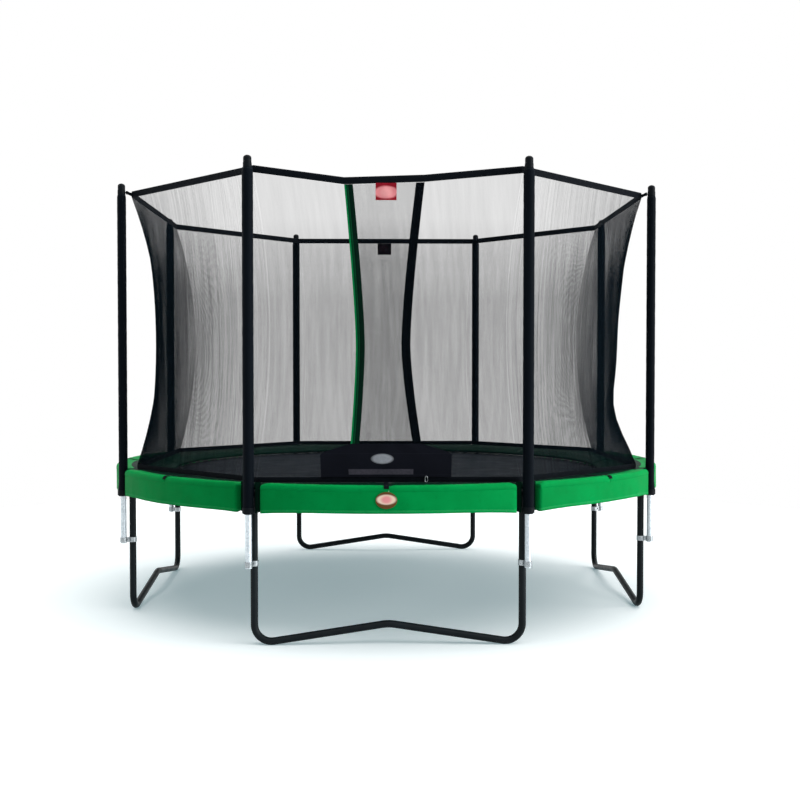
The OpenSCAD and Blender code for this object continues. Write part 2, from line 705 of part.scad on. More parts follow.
// The webbing round the net's upper edge. Two flaps hang from it one before the other, so it is thicker in front.
module net_top_band() {
    wide = side_w(0, net_top_z);
    color("#1a1d21") for (side = net_sides) side_band(
        side, side == 0 ? [-1, -outer_top_w / wide, inner_top_w / wide, 1] : [-1, 1],
        net_top_z + fit, net_top_z + fit + band_h, side == 0 ? front_band_t : net_t);
}

// The webbing hem that stands on the pad
module net_bottom_hem() {
    color("#1a1d21") for (side = net_sides) side_band(
        side, [-1, 1], net_foot_z - fit - hem_h, net_foot_z - fit, side == 0 ? front_band_t : net_t);
}

// Webbing straps that rise from the net's corners to the hooks on the caps
module corner_straps() {
    strap_t = 5;
    strap_half = 12;
    outer_r = pole_r - cap_collar_r - cap_hook_reach - fit;
    band_mid = net_top_z + fit + band_h / 2;
    for (n = [0:7]) let (inner_r = net_top_r + (n < 2 ? front_band_t : net_t) / 2 + fit)
        at_azimuth(post_azimuths[n], 0) translate([-strap_t / 2, 0, 0]) rotate([90, 0, 90])
            linear_extrude(strap_t) polygon([
                [-outer_r, cap_hook_z - strap_half], [-inner_r, band_mid - strap_half],
                [-inner_r, band_mid + strap_half], [-outer_r, cap_hook_z + strap_half]
            ]);
}

// The straps that hold the net, above and below
module net_straps() {
    color("#1a1d21") {
        corner_straps();
        hem_straps();
    }
}

// --- Entrance ---

// The closed black panel at the foot of the entrance, outside the flaps, with its shoulders
module kick_panel() {
    rows = [
        [0, kick_foot_w], [kick_shoulder_h / 2, kick_foot_w], [kick_shoulder_h, kick_foot_w], [kick_h, kick_top_w]
    ];
    function grid(shift) = [for (t = [-1, -0.5, 0, 0.5, 1]) [for (row = rows)
        let (z = net_foot_z + row[0])
        net_point(0, (t * row[1] - entry_shift) / side_w(0, z), z, shift)]];
    color("#15171b") sheet(grid(kick_out + net_t / 2), grid(kick_out - net_t / 2), false);
}

// Plain fabric tabs: one under the band over the entrance, one opposite, and one on the skirt
module fabric_tabs() {
    tab_t = 2;
    tab_x = -entry_shift - tab_w / 2;
    turn = tab_w / pad_out_r * 180 / PI;
    skirt_tab_z = skirt_z + 31;
    front_y = net_point(0, 0, net_top_z, flap_out + net_t / 2 + fit).y;
    front_z = front_top(-entry_shift / side_w(0, net_top_z));
    color("#c02030") {
        translate([tab_x, front_y - tab_t, front_z - tab_h]) cube([tab_w, tab_t, tab_h]);
        translate([tab_x, -front_y - flap_out, net_top_z - tab_h]) cube([tab_w, tab_t, tab_h]);
        rotate([0, 0, -90 + tab_x / pad_out_r * 180 / PI]) rotate_extrude(angle = turn, $fn = 4 * ring_fn)
            translate([pad_out_r + fit, skirt_tab_z]) square([tab_t, tab_h * 0.95]);
    }
}

// A wire snap link that holds the outer flap's corner to the hem
module snap_link() {
    link_x = 222;
    link_bend_r = 7;
    link_straight = 20;
    wire_r = 2;
    y = net_point(0, link_x / side_w(0, net_foot_z), net_foot_z, kick_out + net_t / 2 + fit).y;
    z = pad_top_z + fit + wire_r + link_bend_r + link_straight / 2;
    color("#b9bdc0") translate([link_x, y - wire_r, z]) rotate([90, 0, 0]) {
        for (end = [-1, 1]) translate([0, end * link_straight / 2, 0]) rotate([0, 0, end > 0 ? 0 : 180])
            rotate_extrude(angle = 180) translate([link_bend_r, 0]) circle(wire_r);
        for (side = [-1, 1]) translate([side * link_bend_r, -link_straight / 2, 0])
            rotate([-90, 0, 0]) cylinder(h = link_straight, r = wire_r);
    }
}

QUARTERS = ["front", "right", "back", "left"];

for (n = [1:8]) frame_rail(n);
rail_screws();
for (q = [0:3]) w_leg(q);
for (q = [0:3]) leg_tubes(q);
for (n = [1:8]) net_pole(n);
for (n = [1:8]) pole_sleeve(n);
pole_caps();
lower_clamps();
upper_clamps();
clamp_bolts();
springs();
mat_rings();
ring_loops();
jump_mat();
safety_pad();
pad_skirt();
for (n = [1:7]) net_panel(n);
outer_flap();
inner_flap();
outer_flap_binding();
inner_flap_binding();
net_top_band();
net_bottom_hem();
net_straps();
kick_panel();
fabric_tabs();
snap_link();
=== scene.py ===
"""Looks of a round garden trampoline: cloth, webbing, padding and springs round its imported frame.

Metres, +Z up, in the frame of the solids. Azimuths are degrees from -Y towards +X, as seen from above.
In names, R is a radius, Z a height above the ground, W and H a piece's own width and height.
"""

import math

import bpy
import numpy as np
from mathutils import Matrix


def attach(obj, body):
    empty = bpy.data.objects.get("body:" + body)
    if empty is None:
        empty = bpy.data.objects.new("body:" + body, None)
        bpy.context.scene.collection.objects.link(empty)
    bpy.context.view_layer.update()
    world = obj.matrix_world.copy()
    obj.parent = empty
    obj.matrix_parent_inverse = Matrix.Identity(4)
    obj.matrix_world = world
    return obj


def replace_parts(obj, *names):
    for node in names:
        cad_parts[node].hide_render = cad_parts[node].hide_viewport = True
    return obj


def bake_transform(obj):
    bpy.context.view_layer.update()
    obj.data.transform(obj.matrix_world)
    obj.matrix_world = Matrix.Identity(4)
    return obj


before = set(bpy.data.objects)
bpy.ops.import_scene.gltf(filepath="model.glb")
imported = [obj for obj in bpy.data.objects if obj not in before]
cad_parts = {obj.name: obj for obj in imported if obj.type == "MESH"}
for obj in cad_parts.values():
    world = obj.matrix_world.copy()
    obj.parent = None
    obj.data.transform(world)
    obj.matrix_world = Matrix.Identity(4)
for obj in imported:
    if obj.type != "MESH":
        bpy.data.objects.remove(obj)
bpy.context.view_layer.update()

# --- Sizes of the object, as the solids have them ---

# Rail, leg tubes and net poles. Two leg tubes stand 2 LEG_X apart
RAIL_Z = 0.890
LEG_X, LEG_R = 0.785, 1.875
LEG_AZIMUTH = math.degrees(math.asin(LEG_X / LEG_R))
POSTS = [90 * quarter + side * LEG_AZIMUTH for quarter in range(4) for side in (-1, 1)]
POLE_R = 1.936

# Pole sleeves: each one's radius, their bore, ends and hems, then the radius, middle and half height that
# the upper clamps grip
SLEEVE_R = [0.0330, 0.0330, 0.0295, 0.0310, 0.0320, 0.0320, 0.0310, 0.0295]
SLEEVE_IN, SLEEVE_LOW, SLEEVE_TOP, SLEEVE_HEM = 0.0195, 0.775, 2.7717, 0.016
CLAMP_R, CLAMP_Z, CLAMP_HALF = 0.0329, 0.797, 0.022

# Mat, its border, and the webbing loops round its rings
MAT_R, MAT_THICK = 1.550, 0.002
BORDER_W, BORDER_HALF, BORDER_LAP = 0.050, 0.003, 0.004
LOOP_TAIL_R, LOOP_EDGE_R, LOOP_NOSE_R = 1.516, 1.535, 1.5573
LOOP_W, LOOP_NOSE, LOOP_HALF, LOOP_THICK = 0.012, 0.0034, 0.0038, 0.0012

# Springs: hook in the ring, coil, and tail in the rail's hole, then two radii on each bank's middle line
SPRINGS, BANK, TURN_POINTS = 88, 4, 7
HOOK_R, HOOK_RISE, HOOK_DROP = 1.5792, 0.0043, 0.0062
COIL_IN, COIL_OUT, COIL_PITCH = 1.6132, 1.816, 0.00366
COIL_R, WIRE_R, COIL_CLOSE = 0.0112, 0.0018, 1.5
HOLE_R, TAIL_R = 1.846, 1.856
STRETCH_OUT, STRETCH_IN = 1.81, 1.60

# Safety pad: heights of its underside, seat on the rail, flat band under the net and raised edge, then its
# radii, its roundings, and the step between its points
PAD_LOW, PAD_SEAT, PAD_TOP, PAD_EDGE = 0.900, 0.9153, 0.9503, 0.9603
PAD_IN, PAD_OUT, PAD_LIP, PAD_ROLL, PAD_STEP = 1.530, 1.945, 0.010, 0.016, 0.008
# Half the gap and the reach of the pinch at a seam, and the radius and width of the edge of the painted
# shade, a darker green inside the net
PAD_SEAM, PAD_PINCH, PAD_TONE_R, TONE_EDGE = 0.0012, 0.022, 1.842, 0.004
# Beside a pole: radii from which the edge draws back and the shoulders drop, and how much and how far they do
PAD_DRAWN_R, PAD_DROP_R, PAD_DROP, PAD_SHOULDER = 1.84, 1.80, 0.32, 0.055
NOTCH_HALF, NOTCH_IN, NOTCH_FLAT, NOTCH_EASE = 0.067, 1.887, 0.052, 0.034

# Skirt, one section of which hangs lower in its middle than the others, and the gussets at its ends
SKIRT_R, SKIRT_LOW, SKIRT_TOP, SKIRT_H = 1.9432, 0.797, 0.922, 0.125
SKIRT_THICK, SKIRT_CORNER, SKIRT_SINK, SKIRT_WAVE = 0.0018, 0.008, 0.016, 0.0035
SLACK_SECTION, SLACK_DROP = 7, 0.010
GUSSET_LOW, GUSSET_TOP, GUSSET_END, GUSSET_W = 0.784, 0.960, 0.0355, 0.034
GUSSET_R, GUSSET_OUT, GUSSET_THICK = 1.9098, 0.009, 0.0012

# Net: heights and corner radii of its foot, waist and top, and how round it is between them
NET_FOOT, NET_WAIST, NET_TOP = 0.9829, 1.840, 2.754
FOOT_R, WAIST_R, TOP_R = 1.841, 1.702, 1.868
WAIST_ROUND, CORNER_ROUND, CORNER_REACH = 0.7, 0.012, 0.11
NET_THICK, NET_GAP, NET_FULLNESS = 0.0008, 0.0008, 1.25
RIB_PITCH, RIB_SLOPE, RIB_FADE = 0.006, 1.45, 0.003
BAND_H, BAND_THICK, BAND_EXTRA, BAND_GAP, HEM_GAP = 0.042, 0.0032, 0.010, 0.0003, 0.0004

# Entrance: its flaps' free edges, -1 for the outer flap and 1 for the inner, and their bindings
FLAP_OUT, ENTRY_X = 0.0055, -0.014
ENTRY_WAIST, ENTRY_CURVE = 1.780, 1.5
ENTRY_TOP_W = {-1: 0.258, 1: 0.212}
ENTRY_WAIST_W = {-1: 0.179, 1: 0.121}
ENTRY_FOOT_W = {-1: 0.238, 1: 0.226}
ENTRY_SAG = {-1: 0.068, 1: 0.052}
BINDING_W, BINDING_LAP, BINDING_THICK, BINDING_CROWN, BINDING_FOLD = 0.050, 0.004, 0.0026, 0.0012, 0.46

# Kick panel, tabs and straps
KICK_H, KICK_SHOULDER, KICK_TOP, KICK_FOOT = 0.194, 0.144, 0.205, 0.379
KICK_OUT, KICK_THICK, KICK_BELLY = 0.0125, 0.0022, 0.004
TAB_W, TAB_H, TAB_THICK = 0.122, 0.100, 0.0014
SKIRT_TAB_H, SKIRT_TAB_Z, SKIRT_TAB_IN, SKIRT_TAB_OUT = 0.095, 0.828, 0.0020, 0.0034
STRAP_W, STRAP_WAIST, STRAP_THICK = 0.024, 0.002, 0.0042
STRAP_HOOK_R, STRAP_END_R, STRAP_HOOK_Z, STRAP_LOW_Z = 1.9035, 1.9010, 2.785, 2.7753
HOOK_LOOP_R, HOOK_LOOP_THICK = 0.0098, 0.0022
PAD_STRAP_W, PAD_STRAP_IN, PAD_STRAP_OUT = 0.029, 0.0004, 0.0018

# How far outside the net the straps start, at the band and at the hem, on the entrance side and elsewhere
BAND_OUT_ENTRY, BAND_OUT = 0.0074, 0.0018
HEM_OUT_ENTRY, HEM_OUT = 0.0075, 0.002


# --- Arrays and meshes ---


def polar(azimuth, r, z):
    """Points at an azimuth in degrees, a radius and a height: (r sin a, -r cos a, z)."""
    azimuth, r, z = np.broadcast_arrays(np.radians(azimuth), r, z)
    return np.stack([r * np.sin(azimuth), -r * np.cos(azimuth), z], -1)


def smooth(t):
    """Eases from 0 to 1: 3t^2 - 2t^3, held at its ends."""
    t = np.clip(t, 0, 1)
    return t * t * (3 - 2 * t)


def quads(n, m, wrap_n=False, wrap_m=False):
    """Corner numbers of the faces of a grid of n by m points."""
    rows, columns = n if wrap_n else n - 1, m if wrap_m else m - 1
    i, j = np.meshgrid(np.arange(rows), np.arange(columns), indexing="ij")
    i2, j2 = (i + 1) % n, (j + 1) % m
    return np.stack([i * m + j, i2 * m + j, i2 * m + j2, i * m + j2], -1).reshape(-1, 4)


def rim(a, b):
    """Faces between two rows of corner numbers of the same length."""
    return np.stack([a[1:], a[:-1], b[:-1], b[1:]], -1)


def shell(front, back, wrap=False):
    """A closed sheet between a front and a back grid of points, with its rims, or a tube where it wraps."""
    n, m = front.shape[:2]
    face = quads(n, m, wrap)
    a = np.arange(n * m).reshape(n, m)
    b = a + n * m
    if wrap:
        a, b = np.vstack([a, a[:1]]), np.vstack([b, b[:1]])
    rims = [rim(a[:, 0], b[:, 0]), rim(a[::-1, -1], b[::-1, -1])]
    if not wrap:
        rims += [rim(a[0, ::-1], b[0, ::-1]), rim(a[-1], b[-1])]
    points = np.concatenate([front.reshape(-1, 3), back.reshape(-1, 3)])
    return points, np.concatenate([face, face[:, ::-1] + n * m, *rims]).tolist()


def loft(rings, wrap=False):
    """A closed skin over closed rings of points. The ends are capped unless the rings wrap round."""
    n, m = rings.shape[:2]
    faces = quads(n, m, wrap, True).tolist()
    if not wrap:
        faces += [list(range(m)), list(range(n * m - 1, (n - 1) * m - 1, -1))]
    return rings.reshape(-1, 3), faces


def together(parts):
    """Several (points, faces) as one: corner numbers go up by the count of points before their part."""
    starts = np.cumsum([0] + [len(points) for points, _ in parts[:-1]])
    faces = [[c + int(s) for c in face] for (_, group), s in zip(parts, starts) for face in group]
    return np.concatenate([points for points, _ in parts]), faces


def turned(part, azimuth):
    """(points, faces) turned about the vertical axis by an azimuth, from a part made at azimuth 0."""
    points, faces = part
    a = math.radians(azimuth)
    turn = np.array([[math.cos(a), -math.sin(a), 0], [math.sin(a), math.cos(a), 0], [0, 0, 1]])
    return points @ turn.T, faces


def piece(name, part, material, body="frame", uv=None, crease=50):
    """Makes the object of a closed (points, faces) and puts it on its body. It is inside out, and is turned,
    where the volume is negative, which is a sixth of the sum of a . (b x c) over its triangles."""
    points, faces = part
    mesh = bpy.data.meshes.new(name)
    mesh.from_pydata(points.tolist(), [], faces)
    mesh.calc_loop_triangles()
    corners = np.empty(len(mesh.loop_triangles) * 3, np.int32)
    mesh.loop_triangles.foreach_get("vertices", corners)
    a, b, c = points[corners.reshape(-1, 3)].transpose(1, 0, 2)
    if np.einsum("ij,ij->i", a, np.cross(b, c)).sum() < 0:
        mesh.flip_normals()
    mesh.polygons.foreach_set("use_smooth", np.ones(len(mesh.polygons), bool))
    mesh.set_sharp_from_angle(angle=math.radians(crease))
    if uv is not None:
        corners = np.empty(len(mesh.loops), np.int32)
        mesh.loops.foreach_get("vertex_index", corners)
        mesh.uv_layers.new(name="cloth").data.foreach_set("uv", uv.reshape(-1, 2)[corners].ravel())
    mesh.materials.append(material)
    obj = bpy.data.objects.new(name, mesh)
    bpy.context.scene.collection.objects.link(obj)
    if body:
        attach(obj, body)
    return obj


def twice(uv):
    """The same cloth coordinates for the front and the back of a shell."""
    return np.concatenate([uv.reshape(-1, 2)] * 2)


def lengths(points, axis):
    """Distances run along one axis of a grid of points, from its first row."""
    steps = np.linalg.norm(np.diff(points, axis=axis), axis=-1)
    return np.concatenate([np.zeros_like(np.take(steps, [0], axis)), np.cumsum(steps, axis)], axis)


# --- Finishes ---


def tone(r, g, b):
    """A colour written from 0 to 255 as it looks, in the linear values that shaders take."""
    return tuple(((v / 255 + 0.055) / 1.055) ** 2.4 if v > 10 else v / 255 / 12.92 for v in (r, g, b)) + (1,)


def add(m, kind, inputs=None, **settings):
    """Adds a node to a material or world. Its inputs are numbers, colours or other nodes' outputs."""
    n = m.node_tree.nodes.new("ShaderNode" + kind)
    for key, value in settings.items():
        setattr(n, key, value)
    for key, value in (inputs or {}).items():
        if isinstance(value, bpy.types.NodeSocket):
            m.node_tree.links.new(value, n.inputs[key])
        else:
            n.inputs[key].default_value = value
    return n


def sums(m, operation, a, b=0.0):
    """One step of arithmetic on two numbers or outputs."""
    return add(m, "Math", {0: a, 1: b}, operation=operation).outputs[0]


def place(m, own):
    """Object coordinates, or the piece's own cloth coordinates in metres."""
    return add(m, "TexCoord").outputs["UV" if own else "Object"]


def coordinate(m, where, axis):
    """One coordinate of a place: 0 and 1 run along and across a piece's own cloth, 2 is height."""
    return add(m, "SeparateXYZ", {0: where}).outputs[axis]


def noise(m, where, scale, detail=3.0, rough=0.55, stretch=(1, 1, 1)):
    """Cloudy noise, with its patches drawn out along an axis where stretch is under 1."""
    where = add(m, "Mapping", {"Vector": where, "Scale": stretch}).outputs[0]
    fields = {"Vector": where, "Scale": scale, "Detail": detail, "Roughness": rough}
    return add(m, "TexNoise", fields).outputs["Fac"]


def between(m, value, low, high, to_low, to_high):
    """Carries a value from one range to another, held at the ends."""
    fields = {"Value": value, "From Min": low, "From Max": high, "To Min": to_low, "To Max": to_high}
    return add(m, "MapRange", fields).outputs[0]


def spread(m, cloud, low=0, high=1):
    """Carries the middle of a noise, 0.3 to 0.7, to a range."""
    return between(m, cloud, 0.3, 0.7, low, high)


def blended(m, share, a, b):
    """A colour on the way from a to b."""
    mix = add(m, "Mix", {0: share, 6: a, 7: b}, data_type="RGBA")
    return mix.outputs[2]


def bands(m, where, pitch, way="X", waver=0.0):
    """Even bands across one direction, a sine with one wave to a pitch. The texture's own scale has a
    factor of 20."""
    fields = {"Vector": where, "Scale": 2 * math.pi / 20 / pitch, "Distortion": waver}
    return add(m, "TexWave", fields, bands_direction=way).outputs["Fac"]


def weave(m, where, pitch):
    """Height of a plain weave, |x bands - y bands|: threads over and under each other."""
    return sums(m, "ABSOLUTE", sums(m, "SUBTRACT", *[bands(m, where, pitch, way) for way in "XY"]))


def stitches(m, where, rows, pitch=0.006, width=0.0016):
    """Mask of sewn rows: dashes along the first cloth coordinate, at given places of the second. A dash is
    two thirds of a pitch."""
    dash = sums(m, "LESS_THAN", sums(m, "FRACT", sums(m, "DIVIDE", coordinate(m, where, 0), pitch)), 0.68)
    mask = 0.0
    for row in rows:
        off = sums(m, "ABSOLUTE", sums(m, "SUBTRACT", coordinate(m, where, 1), row))
        mask = sums(m, "MAXIMUM", mask, sums(m, "LESS_THAN", off, width / 2))
    return sums(m, "MULTIPLY", dash, mask)


def from_centre(m, where, centre, reach, axis):
    """How far a point lies from a centre along one cloth coordinate, in shares of a reach."""
    return sums(m, "DIVIDE", sums(m, "SUBTRACT", coordinate(m, where, axis), centre[axis]), reach[axis])


def inside_oval(m, where, centre, reach, soft):
    """Mask of an oval: x^2 + y^2 below 1, x and y in shares of its two reaches."""
    ways = [sums(m, "ABSOLUTE", from_centre(m, where, centre, reach, axis)) for axis in (0, 1)]
    squares = [sums(m, "POWER", way, 2) for way in ways]
    return between(m, sums(m, "ADD", *squares), 1 - soft, 1 + soft, 1, 0)


def inside_box(m, where, centre, reach):
    """Mask of a rectangle: the larger of |x| and |y| below 1, in shares of its two reaches."""
    ways = [sums(m, "ABSOLUTE", from_centre(m, where, centre, reach, axis)) for axis in (0, 1)]
    return between(m, sums(m, "MAXIMUM", *ways), 0.97, 1.0, 1, 0)


def shader(name, **values):
    """A material with one shader. Values that are the same all over go on the shader's own sockets."""
    m = bpy.data.materials.new(name)
    m.use_nodes = True
    sockets = m.node_tree.nodes["Principled BSDF"].inputs
    for socket, value in values.items():
        sockets[socket.replace("_", " ")].default_value = value
    return m


def drive(m, colour=None, roughness=None, height=None, distance=0.0005, strength=1.0, alpha=None):
    """Links what varies over a surface: colour, roughness, alpha, and a height that bumps it."""
    sockets = m.node_tree.nodes["Principled BSDF"].inputs
    wanted = {"Base Color": colour, "Roughness": roughness, "Alpha": alpha}
    if height is not None:
        fields = {"Height": height, "Distance": distance, "Strength": strength}
        wanted["Normal"] = add(m, "Bump", fields).outputs[0]
    for socket, value in wanted.items():
        if value is not None:
            m.node_tree.links.new(value, sockets[socket])
    return m


def powder_black():
    """Powder-coated tube: a fine orange peel, cloudy gloss, and pale scuffs where it meets the ground."""
    m = shader("powder_black", Specular_IOR_Level=0.10)
    where = place(m, False)
    cloud = noise(m, where, 9)
    colour = blended(m, spread(m, cloud), tone(14, 20, 23), tone(24, 31, 35))
    low = between(m, coordinate(m, where, 2), 0.004, 0.03, 1, 0)
    scuff = sums(m, "MULTIPLY", low, between(m, noise(m, where, 120, 5), 0.5, 0.62, 0, 0.5))
    colour = blended(m, scuff, colour, tone(86, 90, 92))
    rough = spread(m, noise(m, where, 30), 0.36, 0.48)
    return drive(m, colour, rough, noise(m, where, 900, 2), 0.0003, 0.35)


def galvanised():
    """Zinc-coated tube with its spangle of crystals."""
    m = shader("galvanised_tube", Metallic=1.0)
    where = place(m, False)
    cell = add(m, "TexVoronoi", {"Vector": where, "Scale": 110.0}).outputs["Color"]
    grey = add(m, "SeparateColor", {0: cell}).outputs[0]
    colour = blended(m, grey, tone(172, 181, 187), tone(206, 213, 218))
    rough = between(m, grey, 0, 1, 0.42, 0.58)
    return drive(m, colour, rough, noise(m, where, 500, 2), 0.0002, 0.25)


def bright_zinc(name, dark, light):
    """Plated wire and hardware, a little cloudy."""
    m = shader(name, Metallic=1.0)
    where = place(m, False)
    cloud = noise(m, where, 160)
    colour = blended(m, spread(m, cloud), dark, light)
    return drive(m, colour, spread(m, cloud, 0.22, 0.4), noise(m, where, 1500, 1), 0.0001, 0.3)


def moulded_black():
    """Grained black plastic."""
    m = shader("moulded_black", Specular_IOR_Level=0.06)
    where = place(m, False)
    colour = blended(m, noise(m, where, 14), tone(8, 12, 16), tone(18, 23, 28))
    rough = spread(m, noise(m, where, 60), 0.45, 0.6)
    return drive(m, colour, rough, noise(m, where, 1400, 2), 0.0003, 0.5)


def sleeve_cover():
    """Black coated cloth drawn over foam, with fine cross threads and soft creases."""
    m = shader("sleeve_cover", Specular_IOR_Level=0.03)
    where = place(m, True)
    cloud = noise(m, where, 8, stretch=(1, 0.4, 1))
    colour = blended(m, cloud, tone(3, 8, 14), tone(12, 18, 25))
    seam = stitches(m, where, (0.008, 1.988), 0.006, 0.002)
    colour = blended(m, seam, colour, tone(40, 46, 52))
    wrinkle = noise(m, where, 45, 3, stretch=(1, 0.5, 1))
    height = sums(m, "ADD", sums(m, "MULTIPLY", weave(m, where, 0.0016), 0.3), wrinkle)
    return drive(m, colour, spread(m, cloud, 0.5, 0.68), height, 0.0012, 0.5)


def mat_weave():
    """Tight woven cloth with a silky face, and broad faint bands that are painted reflection of the room."""
    m = shader("mat_weave", Specular_IOR_Level=0.03)
    where = place(m, True)
    # Painted reflection: lighter bands drawn out along Y stand for the bright room reflected in the mat
    reflection_bands = noise(m, where, 2.2, 2, stretch=(1, 0.12, 1))
    colour = blended(m, reflection_bands, tone(14, 19, 25), tone(25, 32, 39))
    dust = between(m, noise(m, where, 38, 5), 0.55, 0.8, 0, 0.2)
    colour = blended(m, dust, colour, tone(44, 52, 58))
    rough = spread(m, noise(m, where, 5), 0.55, 0.7)
    return drive(m, colour, rough, weave(m, where, 0.0022), 0.0004, 0.5)


def border_webbing():
    """Sewn border of the mat: ribbed tape with three rows of stitches."""
    m = shader("border_webbing", Specular_IOR_Level=0.04)
    where = place(m, True)
    seam = stitches(m, where, (0.008, 0.024, 0.042), 0.007, 0.0018)
    colour = blended(m, noise(m, where, 12), tone(8, 12, 15), tone(18, 23, 27))
    colour = blended(m, seam, colour, tone(54, 60, 64))
    height = sums(m, "SUBTRACT", weave(m, where, 0.003), sums(m, "MULTIPLY", seam, 1.5))
    return drive(m, colour, noise(m, where, 20), height, 0.0006, 0.6)


def green_cover():
    """Coated green cloth: the scrim shows through the coat, with soft wrinkles and a hem row. The
    second cloth coordinate is below nought on the pad's inner side, where a darker green is painted
    shade inside the net, and runs on over its edge."""
    m = shader("green_cover", Specular_IOR_Level=0.02)
    where = place(m, True)
    cloud = noise(m, where, 3.5, 4)
    outer = blended(m, between(m, cloud, 0.25, 0.75, 0, 1), tone(0, 132, 61), tone(0, 153, 75))
    # Painted shade: inner is the darker green painted inside the net and beside the poles; bright marks the
    # unshaded cloth
    inner = blended(m, between(m, cloud, 0.25, 0.75, 0, 1), tone(2, 26, 19), tone(6, 38, 28))
    bright = between(m, coordinate(m, where, 1), -TONE_EDGE, TONE_EDGE, 0, 1)
    colour = blended(m, bright, inner, outer)
    dirt = between(m, noise(m, where, 26, 6), 0.56, 0.78, 0, 0.22)
    colour = blended(m, sums(m, "MULTIPLY", dirt, bright), colour, tone(0, 96, 46))
    seam = stitches(m, where, (0.012, 0.017), 0.005, 0.0013)
    colour = blended(m, seam, colour, tone(70, 176, 112))
    wrinkle = noise(m, where, 22, 4, stretch=(1, 0.45, 1))
    height = sums(m, "ADD", sums(m, "MULTIPLY", weave(m, where, 0.0014), 0.12), wrinkle)
    return drive(m, colour, spread(m, cloud, 0.46, 0.58), height, 0.004, 0.35)


def net_cloth(name, density):
    """Knitted netting: dark threads and much more that is clear. Its second cloth coordinate is height, and
    above 2.2 m, where it is stretched wide, it is thinner. Streaks run along the ribs."""
    m = shader(name, Roughness=0.7, Specular_IOR_Level=0.0)
    where = place(m, True)
    streak = noise(m, where, 26, 3, stretch=(1, 0.07, 1))
    height = coordinate(m, where, 1)
    colour = blended(m, streak, tone(8, 16, 22), tone(20, 30, 37))
    close = between(m, height, 1.1, 1.5, 0.178 * density, 0.187 * density)
    close = sums(m, "MULTIPLY", close, between(m, height, 2.22, 2.5, 1, 0.62))
    knots = sums(m, "MULTIPLY", weave(m, where, 0.0024), 0.26)
    threads = sums(m, "ADD", spread(m, streak, 0.74, 1.02), knots)
    return drive(m, colour, alpha=sums(m, "MULTIPLY", close, threads))


def webbing(name, dark, light, thread, rows, edge=None):
    """Flat woven tape with crosswise ribs, its sewn rows, and a folded edge that may have another
    colour."""
    m = shader(name, Specular_IOR_Level=0.04)
    where = place(m, True)
    seam = stitches(m, where, rows)
    colour = blended(m, noise(m, where, 25), dark, light)
    if edge:
        colour = blended(m, between(m, coordinate(m, where, 1), 0.0085, 0.0110, 1, 0), colour, edge)
    colour = blended(m, seam, colour, thread)
    height = sums(m, "SUBTRACT", bands(m, where, 0.002, waver=0.3), sums(m, "MULTIPLY", seam, 1.5))
    return drive(m, colour, spread(m, noise(m, where, 60), 0.6, 0.8), height, 0.0005, 0.5)


def black_canvas():
    """Close black canvas of the panel at the entrance's foot, with a plain oval patch and a plain grey
    tape."""
    m = shader("black_canvas", Specular_IOR_Level=0.04)
    where = place(m, True)
    cloud = noise(m, where, 9, 4)
    colour = blended(m, cloud, tone(7, 9, 16), tone(18, 20, 29))
    seam = stitches(m, where, (0.012, 0.136), 0.006, 0.0015)
    colour = blended(m, seam, colour, tone(30, 33, 40))
    tape = inside_box(m, where, (-0.044, 0.030), (0.190, 0.016))
    colour = blended(m, tape, colour, blended(m, noise(m, where, 60, 2), tone(48, 48, 56), tone(72, 70, 80)))
    patch = inside_oval(m, where, (-0.036, 0.106), (0.060, 0.028), 0.30)
    pale = blended(m, noise(m, where, 40, 2), tone(128, 132, 140), tone(168, 171, 180))
    colour = blended(m, patch, colour, pale)
    sewn_on = sums(m, "MULTIPLY", sums(m, "MAXIMUM", patch, tape), 0.5)
    wrinkle = sums(m, "ADD", noise(m, where, 18, 3), sewn_on)
    height = sums(m, "ADD", sums(m, "MULTIPLY", weave(m, where, 0.0018), 0.2), wrinkle)
    return drive(m, colour, spread(m, cloud, 0.6, 0.75), height, 0.003, 0.5)


def tab_cloth(name, ground, rim, middle, heart, centre, reach):
    """Plain tab: an oval of a paler cloth on its ground, soft at its edge, and a sewn row round the
    tab."""
    m = shader(name, Specular_IOR_Level=0.12)
    where = place(m, True)
    cloud = noise(m, where, 30, 4)
    colour = blended(m, cloud, ground, rim)
    colour = blended(m, inside_oval(m, where, centre, reach, 0.25), colour, middle)
    small = (reach[0] * 0.52, reach[1] * 0.75)
    colour = blended(m, inside_oval(m, where, centre, small, 0.6), colour, heart)
    seam = stitches(m, where, (0.004, 0.096), 0.005, 0.0012)
    colour = blended(m, sums(m, "MULTIPLY", seam, 0.4), colour, rim)
    return drive(m, colour, spread(m, cloud, 0.6, 0.75), weave(m, where, 0.0016), 0.0004, 0.5)


POWDER = powder_black()
GALVANISED = galvanised()
ZINC = bright_zinc("bright_zinc", tone(118, 124, 128), tone(170, 175, 178))
SPRING_WIRE = bright_zinc("spring_wire", tone(72, 74, 74), tone(122, 124, 122))
DARK_ZINC = bright_zinc("dark_zinc", tone(62, 66, 70), tone(96, 100, 103))
PLASTIC = moulded_black()
SLEEVE = sleeve_cover()
MAT_WEAVE = mat_weave()
BORDER = border_webbing()
COVER = green_cover()
NETTING = net_cloth("net_cloth", 1.0)
FLAP_NETTING = net_cloth("flap_cloth", 1.24)
